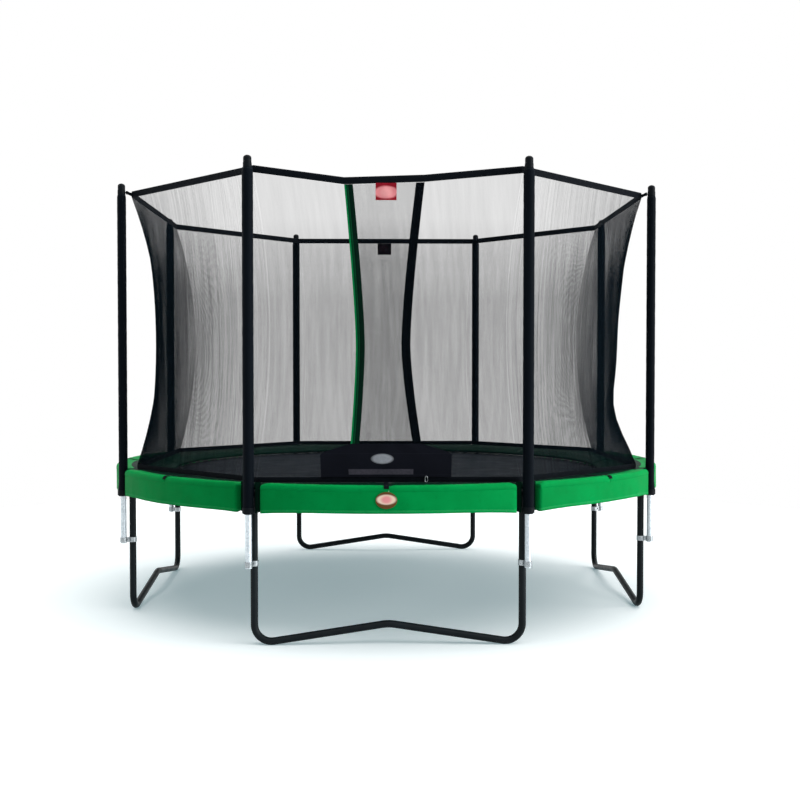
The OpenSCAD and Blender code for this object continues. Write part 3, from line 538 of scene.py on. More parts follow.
# On the gussets this dark green is painted shade in the cut-outs beside the sleeves
DARK_GREEN = webbing("dark_green_cloth", tone(0, 20, 14), tone(2, 36, 24), tone(6, 60, 38), ())
BLACK_TAPE = webbing("black_tape", tone(4, 7, 12), tone(13, 18, 24), tone(34, 40, 45), (0.004, 0.038))
GREEN_TAPE = webbing("green_tape", tone(0, 42, 22), tone(2, 62, 34), tone(14, 96, 56), (0.021,),
                     tone(8, 136, 74))
CANVAS = black_canvas()
RED_TAB = tab_cloth("red_tab", tone(112, 2, 24), tone(168, 18, 40), tone(244, 146, 152),
                    tone(250, 168, 170), (0.061, 0.046), (0.068, 0.036))
DARK_TAB = tab_cloth("dark_tab", tone(16, 2, 8), tone(30, 6, 16), tone(34, 8, 18),
                     tone(40, 12, 22), (0.061, 0.050), (0.050, 0.034))
PALE_TAB = tab_cloth("pale_tab", tone(84, 66, 34), tone(116, 74, 42), tone(246, 218, 196),
                     tone(246, 160, 162), (0.061, 0.052), (0.054, 0.028))


def dress(material, *names):
    """Gives the solids their material. A name that ends in _ stands for its numbered nodes."""
    for name in names:
        for node_name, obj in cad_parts.items():
            if node_name == name or (name.endswith("_") and node_name.startswith(name)):
                obj.data.materials.clear()
                obj.data.materials.append(material)


dress(POWDER, "frame_rail_", "w_leg_", "leg_tubes_")
dress(GALVANISED, "net_pole_")
dress(ZINC, "rail_screws", "lower_clamps", "clamp_bolts", "snap_link")
dress(DARK_ZINC, "mat_rings")
dress(PLASTIC, "pole_caps", "upper_clamps")


# --- Mat, its rings' loops, and the springs ---


def disc(radius, z, n=72):
    """A grid over a disc: a square's grid, each row and column bent to the circle, x sqrt(1 - y^2 / 2)
    and so on."""
    u, v = np.meshgrid(np.linspace(-1, 1, n), np.linspace(-1, 1, n), indexing="ij")
    x, y = u * np.sqrt(1 - v * v / 2), v * np.sqrt(1 - u * u / 2)
    return np.stack([radius * x, radius * y, np.full_like(x, z)], -1)


def make_mat():
    """The woven disc, and its border: a flat tape whose outline is a superellipse of radius and height."""
    cloth_r = MAT_R - BORDER_W + BORDER_LAP
    top = disc(cloth_r, RAIL_Z + MAT_THICK / 2)
    sheet = shell(top, top - [0, 0, MAT_THICK])
    cloth = piece("jump_mat_cloth", sheet, MAT_WEAVE, "mat", twice(top[..., :2]))
    a = np.radians(np.arange(0, 360, 20))
    out = np.abs(np.cos(a)) ** 0.35 * np.sign(np.cos(a))
    up = np.abs(np.sin(a)) ** 0.6 * np.sign(np.sin(a))
    r = MAT_R - BORDER_W / 2 + out * BORDER_W / 2
    azimuth = np.arange(0, 360, 1.25)
    rings = polar(azimuth[:, None], r[None], RAIL_Z + BORDER_HALF * up[None])
    uv = np.stack(np.broadcast_arrays(np.radians(azimuth)[:, None] * MAT_R, (r - MAT_R + BORDER_W)[None]), -1)
    edge = piece("mat_border", loft(rings, True), BORDER, "mat", uv)
    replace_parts(cloth, "jump_mat")
    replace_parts(edge, "jump_mat")


def layer(path, off, x, lift=0.0):
    """One face of a tape along a line of radius and height, moved off the line along its normal. It is
    drawn out over places x to the side, for a part made at azimuth 0."""
    ahead = np.gradient(path, axis=0)
    normal = np.stack([-ahead[:, 1], ahead[:, 0]], -1) / np.linalg.norm(ahead, axis=1)[:, None]
    r, z = (path + normal * off).T
    return np.stack(np.broadcast_arrays(x[None], -r[:, None], lift + z[:, None]), -1)


def make_loops():
    """Tapes sewn over the border: a U round each ring, an ellipse at its nose, from its tail above to
    its tail below."""
    turn = np.radians(np.linspace(90, -90, 9))
    nose = np.stack([LOOP_NOSE_R + LOOP_NOSE * np.cos(turn), LOOP_HALF * np.sin(turn)], -1)
    above, below = [[[r, z] for r in (LOOP_TAIL_R, LOOP_EDGE_R)] for z in (LOOP_HALF, -LOOP_HALF)]
    path = np.concatenate([above, nose, below[::-1]])
    across = np.linspace(-LOOP_W / 2, LOOP_W / 2, 3)
    run = np.concatenate([[0], np.cumsum(np.linalg.norm(np.diff(path, axis=0), axis=1))])
    uv = twice(np.stack(np.broadcast_arrays(run[:, None], across[None] + 0.015), -1))
    one = shell(layer(path, LOOP_THICK / 2, across, RAIL_Z), layer(path, -LOOP_THICK / 2, across, RAIL_Z))
    parts = [turned(one, (i + 0.5) * 360 / SPRINGS) for i in range(SPRINGS)]
    uv = np.tile(uv, (SPRINGS, 1))
    loops = piece("webbing_loops", together(parts), BLACK_TAPE, "mat", uv)
    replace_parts(loops, "ring_loops")


def spring_line():
    """Centre line of one spring, along +X from the ring to the rail: a hook that drops through the
    ring, a coil that opens over a turn and a half, runs close wound and closes again, and a tail that
    enters the rail."""
    turns = (COIL_OUT - COIL_IN) / COIL_PITCH - 1
    t = np.arange(0, turns, 1 / TURN_POINTS)
    reach = HOOK_RISE + (COIL_R - HOOK_RISE) * smooth(t / COIL_CLOSE)
    reach = reach * smooth((turns - t) / COIL_CLOSE)
    angle = np.radians(90 + 360 * t)
    ahead = COIL_IN + COIL_PITCH / 2 + t * COIL_PITCH
    coil = np.stack([ahead, reach * np.cos(angle), reach * np.sin(angle)], -1)
    hook = [[HOOK_R, 0, -HOOK_DROP], [HOOK_R, 0, 0.0026]]
    hook += [[HOOK_R + 0.002, 0, HOOK_RISE], [1.600, 0, HOOK_RISE]]
    tail = [[COIL_OUT + 0.004, 0, 0], [HOLE_R, 0, 0], [TAIL_R, 0, -0.001]]
    return np.concatenate([hook, coil, tail])


def tube(path, radius, sides):
    """Rings round a line, each turned from the last by no more than the line itself turns."""
    ahead = np.gradient(path, axis=0)
    ahead /= np.linalg.norm(ahead, axis=1)[:, None]
    side = np.cross(ahead[0], [0, 1, 0])
    sideways = []
    for way in ahead:
        side = side - way * (side @ way)
        side /= np.linalg.norm(side)
        sideways.append(side)
    sideways = np.array(sideways)
    upwards = np.cross(ahead, sideways)
    a = np.radians(45 + 360 * np.arange(sides) / sides)[None, :, None]
    return path[:, None] + radius * (np.cos(a) * sideways[:, None] + np.sin(a) * upwards[:, None])


def make_springs():
    """Eighty-eight springs in banks of four, one object to each bank, and two points found on the
    middle radius of each bank."""
    rings = tube(spring_line(), WIRE_R, 4)
    one = loft(np.stack([rings[..., 1], -rings[..., 0], rings[..., 2] + RAIL_Z], -1))
    for bank in range(SPRINGS // BANK):
        parts = [turned(one, (BANK * bank + i + 0.5) * 360 / SPRINGS) for i in range(BANK)]
        name = f"spring_bank_{bank + 1:02d}"
        springs = piece(name, together(parts), SPRING_WIRE, None, crease=80)
        middle = (BANK * bank + BANK / 2) * 360 / SPRINGS
        outer, inner = polar(middle, np.array([STRETCH_OUT, STRETCH_IN]), RAIL_Z)
        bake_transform(springs)
        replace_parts(springs, "springs")


# --- Pad and skirt ---


def pad_outline():
    """Closed outline of radius and height: lip over the mat, slope, flat band under the net, rolled
    edge, underside. It is sampled at even steps and each point is drawn to the mean of its neighbours,
    which rounds the corners."""

    def arc(r, z, radius, degrees):
        """An arc round a point of the outline."""
        a = np.radians(degrees)
        return np.stack([r + radius * np.cos(a), z + radius * np.sin(a)], -1)

    corners = np.concatenate([
        arc(PAD_IN + PAD_LIP, PAD_LOW + PAD_LIP, PAD_LIP, np.arange(180, 90, -20)),
        [[1.595, 0.9413], [1.640, PAD_TOP], [1.863, PAD_TOP], [1.893, 0.9583]],
        arc(PAD_OUT - PAD_ROLL, PAD_EDGE - PAD_ROLL, PAD_ROLL, np.arange(90, -1, -15)),
        [[PAD_OUT, PAD_SEAT], [1.850, PAD_SEAT], [1.810, PAD_LOW], [PAD_IN + 0.008, PAD_LOW]],
    ])
    loop = np.concatenate([corners, corners[:1]])
    run = np.concatenate([[0], np.cumsum(np.linalg.norm(np.diff(loop, axis=0), axis=1))])
    at = np.arange(0, run[-1], PAD_STEP)
    line = np.stack([np.interp(at, run, loop[:, 0]), np.interp(at, run, loop[:, 1])], -1)
    for _ in range(2):
        line = (np.roll(line, 1, 0) + 2 * line + np.roll(line, -1, 0)) / 4
    return line, at


def notch_share(t):
    """1 within a cut-out for a pole and 0 away from it, at a distance t along the edge."""
    return 1 - smooth((np.abs(t) - NOTCH_FLAT) / NOTCH_EASE)


def pad_cloth(t, azimuth, r, run, upper):
    """Cloth coordinates of a section: the way round, and the way across. On top the second one is the
    radius less that of the painted shade's edge, below nought, up to where the painted shade, a darker
    green, gives way to the bright one. From there it is the length run over the edge. The shade's edge
    is a circle, but beside a pole the painted shade goes on to the pad's edge."""
    top = upper & (r < PAD_OUT - 0.02)
    order = np.argsort(r[top])
    # Radius at which the painted shade ends: at the net's foot, and out at the pad's edge beside a pole
    shade_r = PAD_TONE_R + (PAD_OUT - PAD_TONE_R) * (1 - smooth((np.abs(t) - 0.058) / 0.050))
    shade_run = np.interp(shade_r, r[top][order], run[top][order])
    across = np.where(r[None] < shade_r, r[None] - shade_r - TONE_EDGE, run[None] - shade_run + TONE_EDGE)
    return np.stack(np.broadcast_arrays(np.radians(azimuth) * PAD_OUT, across), -1)


def make_pad():
    """Eight padded sections, one round each pole and sewn together at every 45 degrees. Near the pole
    the edge draws back to the cut-out and its shoulders drop; at a seam the top and the edge pull in;
    creases run across the edge."""
    line, run = pad_outline()
    r, z = line.T
    upper = z > PAD_SEAT + 0.004
    for n, pole in enumerate(POSTS):
        low = math.floor(pole / 45) * 45 - pole
        ends = [math.radians(low) * POLE_R + PAD_SEAM, math.radians(low + 45) * POLE_R - PAD_SEAM]
        # Places along the edge: every 4 mm near the pole, and every 16 mm from there to the seams
        far = [np.arange(side * 0.135, end, side * 0.016) for side, end in zip((-1, 1), ends)]
        near = np.arange(-0.131, 0.132, 0.004)
        t = np.unique(np.concatenate([far[0][::-1], near, far[1], ends]))[:, None]
        azimuth = pole + np.degrees(t / POLE_R)
        seam = np.minimum(t - ends[0], ends[1] - t)
        pinch = np.exp(-((seam / PAD_PINCH) ** 2))
        shoulder = 1 - smooth((np.abs(t) - NOTCH_HALF) / PAD_SHOULDER)
        outer = smooth((r - PAD_DROP_R) / (PAD_OUT - PAD_DROP_R))[None]
        edge = PAD_OUT - (PAD_OUT - NOTCH_IN) * notch_share(t) - 0.004 * pinch
        drawn = PAD_DRAWN_R + (r[None] - PAD_DRAWN_R) * (edge - PAD_DRAWN_R) / (PAD_OUT - PAD_DRAWN_R)
        radius = np.where(r[None] > PAD_DRAWN_R, drawn, r[None])
        crease = np.sin(t * 97 + n) * np.sin(t * 41 + 2.1 * n) + 0.6 * np.sin(t * 173 - 1.3 * n)
        height = z[None] - upper[None] * (0.007 * pinch + 0.0012 * (1 + crease) * (0.3 + 0.7 * outer))
        dropped = PAD_SEAT + (height - PAD_SEAT) * (1 - PAD_DROP * shoulder * outer)
        height = np.where(height > PAD_SEAT, dropped, height)
        uv = pad_cloth(t, azimuth, r, run, upper)
        skin = loft(polar(azimuth, radius, height))
        section = piece(f"pad_section_{n + 1}", skin, COVER, uv=uv)
        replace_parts(section, "safety_pad")


def make_skirt():
    """Eight aprons between the poles: each hangs from the pad's edge, with slow waves that grow towards
    its hem. The hem sinks by a fourth power towards the poles, and its corners are quarter circles.
    Both ends bend inwards to the cut-outs. The slack section also hangs lower by a parabola."""
    for n, pole in enumerate(POSTS):
        span = math.radians((POSTS + [POSTS[0] + 360])[n + 1] - pole) * PAD_OUT
        way = np.linspace(NOTCH_HALF, span - NOTCH_HALF, 120)[:, None]
        end = np.minimum(way - NOTCH_HALF, span - NOTCH_HALF - way)
        corner = SKIRT_CORNER * (1 - np.sqrt(1 - np.clip(1 - end / SKIRT_CORNER, 0, 1) ** 2))
        down = np.linspace(0, 1, 15)[None]
        share = (2 * way - span) / (span - 2 * NOTCH_HALF)
        slack_drop = (SLACK_DROP if n == SLACK_SECTION else 0.0) * (1 - share**2)
        low = SKIRT_LOW + 0.002 - SKIRT_SINK * share**4 + corner - slack_drop
        z = low * (1 - down) + SKIRT_TOP * down
        wave = np.sin(way * 13 + n) * 0.5 + np.sin(way * 29 + 2 * n) * 0.3 + np.sin(way * 61 - n) * 0.2
        hem = np.exp(-(((z - low - 0.020) / 0.004) ** 2))
        r = SKIRT_R + SKIRT_WAVE * wave * (1 - down) ** 1.3 - 0.0008 * hem
        r = r - (PAD_OUT - NOTCH_IN) * notch_share(end + NOTCH_HALF)
        azimuth = pole + np.degrees(way / PAD_OUT)
        sheet = shell(polar(azimuth, r + SKIRT_THICK / 2, z), polar(azimuth, r - SKIRT_THICK / 2, z))
        uv = np.stack(np.broadcast_arrays(way, z - low + corner), -1)
        apron = piece(f"skirt_section_{n + 1}", sheet, COVER, uv=twice(uv))
        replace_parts(apron, "pad_skirt")


def make_gussets():
    """Dark cloth that closes each cut-out on both sides of its sleeve; its dark green is painted shade
    in the cut-out. It runs from the skirt's end to the side of the sleeve, and its radius grows on the
    way by the square of a quarter sine."""
    share = np.linspace(0, 1, 9)[:, None]
    up = np.linspace(0, 1, 13)[None]
    start = NOTCH_HALF + 0.001
    for n, pole in enumerate(POSTS):
        for hand in (-1, 1):
            t = hand * (start - (start - GUSSET_END) * share)
            r = GUSSET_R + GUSSET_OUT * np.sin(math.pi / 2 * share) ** 2
            z = GUSSET_LOW + (GUSSET_TOP - GUSSET_LOW) * up + 0.004 * np.cos(3 * share) * (1 - up)
            azimuth = pole + np.degrees(t / PAD_OUT)
            front, back = [polar(azimuth, r + side * GUSSET_THICK / 2, z)[::-hand] for side in (1, -1)]
            # The cloth's pattern starts 3 m further on than the skirt's
            uv = np.stack(np.broadcast_arrays(t, z - GUSSET_LOW + 3), -1)
            name = f"gusset_{n + 1}_{'left' if hand < 0 else 'right'}"
            # Painted shade: the gusset's dark green stands for the shade in the cut-out beside the sleeve
            gusset = piece(name, shell(front, back), DARK_GREEN, uv=twice(uv))
            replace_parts(gusset, "pad_skirt")


# --- Pole sleeves ---


def make_sleeves():
    """Foam sleeves: a tube with shallow creases round it, a hemmed ring at each end, a ridge along its
    seam, and the full width of the clamp where the clamp grips it."""
    azimuth = np.radians(np.arange(0, 360, 10))[:, None]
    ends = [SLEEVE_LOW + 0.004, SLEEVE_LOW + SLEEVE_HEM]
    z = np.unique(np.concatenate([np.linspace(SLEEVE_LOW, SLEEVE_TOP, 110), ends]))[None]
    end = np.minimum(z - SLEEVE_LOW, SLEEVE_TOP - z)
    groove = np.exp(-(((end - SLEEVE_HEM) / 0.003) ** 2))
    ridge = np.exp(-((np.angle(np.exp(1j * (azimuth - math.pi))) / 0.12) ** 2))
    held = 1 - smooth((np.abs(z - CLAMP_Z) - CLAMP_HALF) / 0.05)

    def wall(radius):
        """The tube's outer or inner grid of points."""
        x, y = radius * np.sin(azimuth), -radius * np.cos(azimuth) - POLE_R
        return np.stack(np.broadcast_arrays(x, y, z), -1)

    for n, pole in enumerate(POSTS):
        crease = np.sin(z * 61 + 3 * n) * np.sin(azimuth * 2 + z * 9 + n)
        crease = crease + 0.5 * np.sin(z * 143 + azimuth * 3)
        r = SLEEVE_R[n] + (CLAMP_R - SLEEVE_R[n]) * held
        r = r - (0.0002 + 0.0004 * (1 + crease)) * (1 - held) - 0.0009 * groove
        r = r + 0.0006 * ridge * (1 - held) - 0.004 * (1 - smooth(end / 0.006))
        tube_wall = shell(wall(r), wall(np.full_like(r, SLEEVE_IN)), True)
        uv = twice(np.stack(np.broadcast_arrays(azimuth * SLEEVE_R[n], z - SLEEVE_LOW), -1))
        sleeve = piece(f"sleeve_{n + 1}", turned(tube_wall, pole), SLEEVE, uv=uv)
        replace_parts(sleeve, f"pole_sleeve_{n + 1}")


# --- Net ---


def side_half(side):
    """Half the azimuth that a side of the net spans: sides 0, 2, 4 and 6 are the wide ones."""
    return LEG_AZIMUTH if side % 2 == 0 else 45 - LEG_AZIMUTH


def corner_radius(z):
    """Radius of the net's corners: a parabola of height above the waist and another below it."""
    above = WAIST_R + (TOP_R - WAIST_R) * ((z - NET_WAIST) / (NET_TOP - NET_WAIST)) ** 2
    below = WAIST_R + (FOOT_R - WAIST_R) * ((NET_WAIST - z) / (NET_WAIST - NET_FOOT)) ** 2
    return np.where(z > NET_WAIST, above, below)


def slack(side, across, t):
    """How far the cloth leaves its drawn shape at a share t of its height: slow waves, none along the
    corners, the foot and the top. The corner at 65 degrees hangs in by 50 mm low down, and out by 18 mm
    above the middle."""
    held = np.cos(math.pi * across / 2) * np.sin(math.pi * t)
    waves = 0.005 * held * (np.sin(7 * across + 5 * t + side) + 0.6 * np.sin(15 * across - 6 * t + 2 * side))
    drawn = 0.018 * np.exp(-(((t - 0.72) / 0.2) ** 2)) - 0.050 * np.exp(-(((t - 0.2) / 0.13) ** 2))
    drawn = drawn * smooth(t / 0.08) * smooth((1 - t) / 0.1)
    return waves + drawn * {1: 1 + across, 2: 1 - across}.get(side, 0 * across) / 2


def net_surface(side, across, z, out, rise=0.0):
    """Points of the net: a level is a mix of an octagon's side and a circle, and the share of the
    circle is a half sine of height. The corners are rounded off most in the middle of the height.
    Across runs from -1 to 1, out is the distance outside, and rise lifts the result."""
    half = math.radians(side_half(side))
    turn = np.arctan(across * math.tan(half))
    t = np.clip((z - NET_FOOT) / (NET_TOP - NET_FOOT), 0, 1)
    share = WAIST_ROUND * np.sin(math.pi * t)
    drawn = (1 - share) * math.cos(half) / np.cos(turn) + share
    r = corner_radius(z) * drawn + out + slack(side, across, t)
    near_corner = np.exp(-(((half - np.abs(turn)) / CORNER_REACH) ** 2))
    r = r - CORNER_ROUND * np.sin(math.pi * t) * near_corner
    return polar(45 * side + np.degrees(turn), r, z + rise)


def net_sheet(side, across, z, out, thick):
    """A closed sheet of a thickness that follows the net at a distance outside it."""
    return shell(net_surface(side, across, z, out + thick / 2), net_surface(side, across, z, out - thick / 2))


def side_width(side, z):
    """Half the width of a side at a height."""
    return corner_radius(z) * math.sin(math.radians(side_half(side)))


def entry_width(hand, z):
    """From the middle to a flap's free edge, as an hourglass: waist + (end - waist) share^1.5, where the
    share goes from 0 at the waist to 1 at the foot and at the top."""
    above = z > ENTRY_WAIST
    waist, end = ENTRY_WAIST_W[hand], np.where(above, ENTRY_TOP_W[hand], ENTRY_FOOT_W[hand])
    share = (z - ENTRY_WAIST) / (np.where(above, NET_TOP, NET_FOOT) - ENTRY_WAIST)
    return waist + (end - waist) * np.abs(share) ** ENTRY_CURVE


def top_edge(side, across):
    """Height of the net's upper edge, which dips in straight lines to the entrance flaps' free corners."""
    wide = float(side_width(0, NET_TOP))
    places, dips = [-wide, -ENTRY_TOP_W[-1], ENTRY_TOP_W[1], wide], [0, ENTRY_SAG[-1], ENTRY_SAG[1], 0]
    return NET_TOP - (np.interp(across * wide, places, dips) if side == 0 else 0 * across)


def hashed(n):
    """An uneven number from 0 to 1 for each whole number, always the same: the fraction of a large sine."""
    return np.modf(np.abs(np.sin(12.9898 * n + 4.1)) * 437.5853)[0]


def ribs(columns):
    """The knit's ribs: a zigzag, four columns to a rib, in which each column has an uneven height."""
    uneven = 1 + 0.45 * (hashed(np.arange(columns)) - 0.5)[:, None]
    return RIB_PITCH / 4 * RIB_SLOPE * uneven * np.array([0, 1, 0, -1])[np.arange(columns) % 4][:, None]


def net_panel(name, side, start, end, out):
    """One panel of netting between two places across a side, given at each height, with its ribs, which
    fade out at its edges. A flap stands off by out, and comes back to the middle surface at the corner
    it is sewn to."""
    up = np.linspace(0, 1, 19)[None]
    level = NET_FOOT + (NET_TOP - NET_FOOT) * up
    low, high = start(level), end(level)
    width = float(np.max((high - low) * side_width(side, level)))
    columns = 4 * int(round(width / RIB_PITCH)) + 1
    step = np.append(0, 1 + 0.5 * (hashed(np.arange(1, columns) + 31 * side) - 0.5))
    u = (np.cumsum(step) / np.sum(step))[:, None]
    across = low + (high - low) * u
    z = NET_FOOT + (top_edge(side, across) - NET_FOOT) * up
    to_corner = (1 - u if out > 0 else u) * width
    to_edge = np.minimum(u, 1 - u) * width
    middle = out * smooth(to_corner / 0.06) + ribs(columns) * smooth(to_edge / RIB_FADE)
    plain = net_surface(side, across[::8], z[::8], 0)
    uv = np.stack([lengths(net_surface(side, across, z, 0), 0), z], -1)
    sheet = net_sheet(side, across, z, middle, NET_THICK)
    panel = piece(name, sheet, FLAP_NETTING if out else NETTING, uv=twice(uv), crease=180)
    return panel


def seam_edge(side, hand):
    """Places across a side at its left corner, hand -1, or its right one, short of it by the gap."""
    return lambda z: hand * (1 - NET_GAP / side_width(side, z))


def free_edge(hand):
    """Places across the entrance side where a flap's netting ends under its binding."""
    return lambda z: hand * (entry_width(hand, z) - BINDING_W + BINDING_LAP) / side_width(0, z)


def make_net():
    """Seven plain panels, and two flaps that overlap at the entrance. Each flap has a binding on its
    free edge, and the outer flap's is bright on its outer part and dark on the rest. A binding is
    crowned by a half sine."""
    for side in range(1, 8):
        panel = net_panel(f"net_cloth_{side}", side, seam_edge(side, -1), seam_edge(side, 1), 0.0)
        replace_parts(panel, f"net_panel_{side}")
    outer = net_panel("outer_flap_cloth", 0, free_edge(-1), seam_edge(0, 1), FLAP_OUT)
    inner = net_panel("inner_flap_cloth", 0, seam_edge(0, -1), free_edge(1), -FLAP_OUT)
    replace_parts(outer, "outer_flap")
    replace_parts(inner, "inner_flap")
    up = np.linspace(0, 1, 40)[None]
    level = NET_FOOT + (NET_TOP - NET_FOOT) * up
    strips = [
        ("outer", -1, 0.0, BINDING_FOLD, GREEN_TAPE, "green_webbing"),
        ("outer", -1, BINDING_FOLD, 1.0, DARK_GREEN, "green_webbing"),
        ("inner", 1, 0.0, 1.0, BLACK_TAPE, "black_webbing"),
    ]
    for i, (name, hand, a, b, material, slot) in enumerate(strips):
        share = np.linspace(a, b, 5)[::-hand, None]
        crown = BINDING_CROWN * np.sin(math.pi * (share - a) / (b - a))
        across = hand * (entry_width(hand, level) - share * BINDING_W) / side_width(0, level)
        z = NET_FOOT + (top_edge(0, across) - NET_FOOT) * up
        uv = twice(np.stack(np.broadcast_arrays(level, share * BINDING_W), -1))
        strip = net_sheet(0, across, z, -hand * FLAP_OUT + crown, BINDING_THICK)
        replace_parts(piece(f"{name}_binding_{i + 1}", strip, material, uv=uv), f"{name}_flap_binding")


def ring_tape(name, low, high, reference, node):
    """Webbing that runs round the net: a superellipse of thickness and height, carried along the eight
    sides. On the entrance side it is thick enough for both flaps, and the upper one dips with them."""
    a = np.radians(np.arange(0, 360, 30))
    out = np.sign(np.cos(a)) * np.abs(np.cos(a)) ** 0.5
    up = 0.5 + 0.5 * np.sign(np.sin(a)) * np.abs(np.sin(a)) ** 0.4
    left, right = (hand * ENTRY_TOP_W[hand] / float(side_width(0, NET_TOP)) for hand in (-1, 1))
    across = np.array([-1, -0.98, -0.9, -0.6, left, 0, right, 0.6, 0.9, 0.98])[:, None]
    rings, places, start = [], [], 0.0
    for side in range(8):
        depth = BAND_THICK + BAND_EXTRA * smooth((1 - np.abs(across)) / 0.03) * (side == 0)
        dip = (top_edge(side, across) - NET_TOP) * (reference > NET_WAIST)
        rise = low + (high - low) * up[None] - reference + dip
        half = float(side_width(side, reference))
        rings.append(net_surface(side, across, np.full_like(across, reference), out[None] * depth / 2, rise))
        places.append(start + (across + 1) * half)
        start += 2 * half
    uv = np.stack(np.broadcast_arrays(np.concatenate(places), (high - low) * up[None]), -1)
    band = piece(name, loft(np.concatenate(rings), True), BLACK_TAPE, uv=uv)
    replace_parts(band, node)


def corner_strap(inner):
    """A strap up to the cap, narrower in its middle by a half sine and thinner at its edges."""
    t = np.linspace(0, 1, 12)
    r = inner + (STRAP_END_R - inner) * t
    middle = STRAP_LOW_Z + (STRAP_HOOK_Z - STRAP_LOW_Z) * smooth(t)
    half = STRAP_W / 2 - STRAP_WAIST * np.sin(math.pi * t)
    across = np.linspace(-1, 1, 5)
    grid = np.stack(np.broadcast_arrays(0.0, -r[:, None], middle[:, None] + half[:, None] * across[None]), -1)
    side = np.array([STRAP_THICK / 2, 0, 0]) * (1 - 0.4 * across[None, :, None] ** 4)
    return shell(grid + side, grid - side)


def hook_loop():
    """The strap's loop round a cap's hook: a torus of six sides that stands across the radius."""
    a = np.radians(np.arange(0, 360, 15))
    outwards = np.stack([np.cos(a), 0 * a, np.sin(a)], -1)
    ring = np.array([0, -STRAP_HOOK_R, STRAP_HOOK_Z]) + HOOK_LOOP_R * outwards
    b = np.radians(np.arange(0, 360, 60))[None, :, None]
    thick = HOOK_LOOP_THICK * (np.cos(b) * outwards[:, None] + np.sin(b) * np.array([0, 1, 0]))
    return loft(ring[:, None] + thick, True)


def make_straps():
    """Straps from the net's corners up to the caps, each with a loop round the hook, and straps over
    the pad, which lie on the upper part of its outline."""
    parts = []
    for n, pole in enumerate(POSTS):
        parts.append(turned(corner_strap(TOP_R + (BAND_OUT_ENTRY if n < 2 else BAND_OUT)), pole))
        parts.append(turned(hook_loop(), pole))
    line, _ = pad_outline()
    top = line[(line[:, 1] > PAD_TOP - 0.002) | (line[:, 0] > PAD_OUT - 0.003)]
    top = top[(top[:, 0] > 1.66) & (top[:, 1] > 0.934)]
    for side in range(8):
        start = FOOT_R * math.cos(math.radians(side_half(side))) + (HEM_OUT_ENTRY if side == 0 else HEM_OUT)
        path = np.concatenate([[[start, PAD_TOP]], top[top[:, 0] > start + 0.004]])
        x = np.linspace(-PAD_STRAP_W / 2, PAD_STRAP_W / 2, 4) + (ENTRY_X if side == 0 else 0)
        strap = shell(layer(path, PAD_STRAP_OUT, x), layer(path, PAD_STRAP_IN, x))
        parts.append(turned(strap, 45 * side))
    straps = piece("net_webbing_straps", together(parts), BLACK_TAPE)
    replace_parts(straps, "net_straps")


def make_kick_panel():
    """A panel of canvas outside the flaps with sloped shoulders, curved as the net is, and bellied out
    a little in its middle."""
    t = np.linspace(-1, 1, 41)[:, None]
    v = np.unique(np.append(np.linspace(0, 1, 13), KICK_SHOULDER / KICK_H))[None]
    half = np.interp(v * KICK_H, [0, KICK_SHOULDER - 0.008, KICK_SHOULDER + 0.006, KICK_H],
                     [KICK_FOOT, KICK_FOOT, KICK_FOOT - 0.03, KICK_TOP])
    z = NET_FOOT + KICK_H * v + 0 * t
    belly = KICK_BELLY * np.cos(math.pi * t / 2) * np.sin(math.pi * v)
    belly = belly + 0.0015 * np.sin(11 * t + 2 * v) * (1 - t * t)
    x = t * half + ENTRY_X
    sheet = net_sheet(0, x / side_width(0, z), z, KICK_OUT + belly, KICK_THICK)
    uv = np.stack(np.broadcast_arrays(x, v * KICK_H), -1)
    panel = piece("kick_panel_cloth", sheet, CANVAS, uv=twice(uv))
    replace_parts(panel, "kick_panel")


def make_tabs():
    """Three plain tabs: one under the band over the entrance, one opposite it, and an oval one on the
    skirt's front. The first two curl forwards by the square of the way down."""
    u = np.linspace(-1, 1, 15)[:, None]
    v = np.linspace(0, 1, 12)[None]
    front_y = float(net_surface(0, np.array(0.0), np.array(NET_TOP), FLAP_OUT + 0.0035)[1])
    front_z = float(top_edge(0, ENTRY_X / float(side_width(0, NET_TOP))))
    tabs = [("front_tab", front_y, front_z, RED_TAB), ("back_tab", -front_y - 0.006, NET_TOP, DARK_TAB)]
    for name, y, top, material in tabs:
        x, z = TAB_W / 2 * u + ENTRY_X + 0 * v, top - TAB_H * (1 - v) + 0 * u
        curl = 0.002 * (1 - v) ** 2 * np.cos(3 * u) + 0.0008 * np.sin(5 * u + 4 * v)
        grid = np.stack([x, y - 0.001 - curl, z], -1)
        half = [0, TAB_THICK / 2, 0]
        uv = np.stack(np.broadcast_arrays(TAB_W / 2 * (u + 1), TAB_H * v), -1)
        tab = piece(name, shell(grid - half, grid + half), material, uv=twice(uv))
        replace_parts(tab, "fabric_tabs")
    oval = disc(1.0, 0.0, 22)
    x, z = TAB_W / 2 * oval[..., 0], SKIRT_TAB_H / 2 * oval[..., 1]
    azimuth = np.degrees((x + ENTRY_X) / PAD_OUT)
    level = SKIRT_TAB_Z + SKIRT_TAB_H / 2 + z
    front, back = [polar(azimuth, PAD_OUT + out, level) for out in (SKIRT_TAB_OUT, SKIRT_TAB_IN)]
    uv = np.stack([x + TAB_W / 2, z + SKIRT_TAB_H / 2], -1)
    tab = piece("skirt_tab", shell(front, back), PALE_TAB, uv=twice(uv))
    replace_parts(tab, "fabric_tabs")


make_mat()
make_loops()
make_springs()
make_pad()
make_skirt()
make_gussets()
make_sleeves()
ring_tape("top_webbing", NET_TOP + BAND_GAP, NET_TOP + BAND_GAP + BAND_H, NET_TOP, "net_top_band")
ring_tape("hem_webbing", PAD_TOP + HEM_GAP, NET_FOOT - BAND_GAP, NET_FOOT, "net_bottom_hem")
make_net()
make_straps()
make_kick_panel()
make_tabs()


# --- Floor, light and camera ---


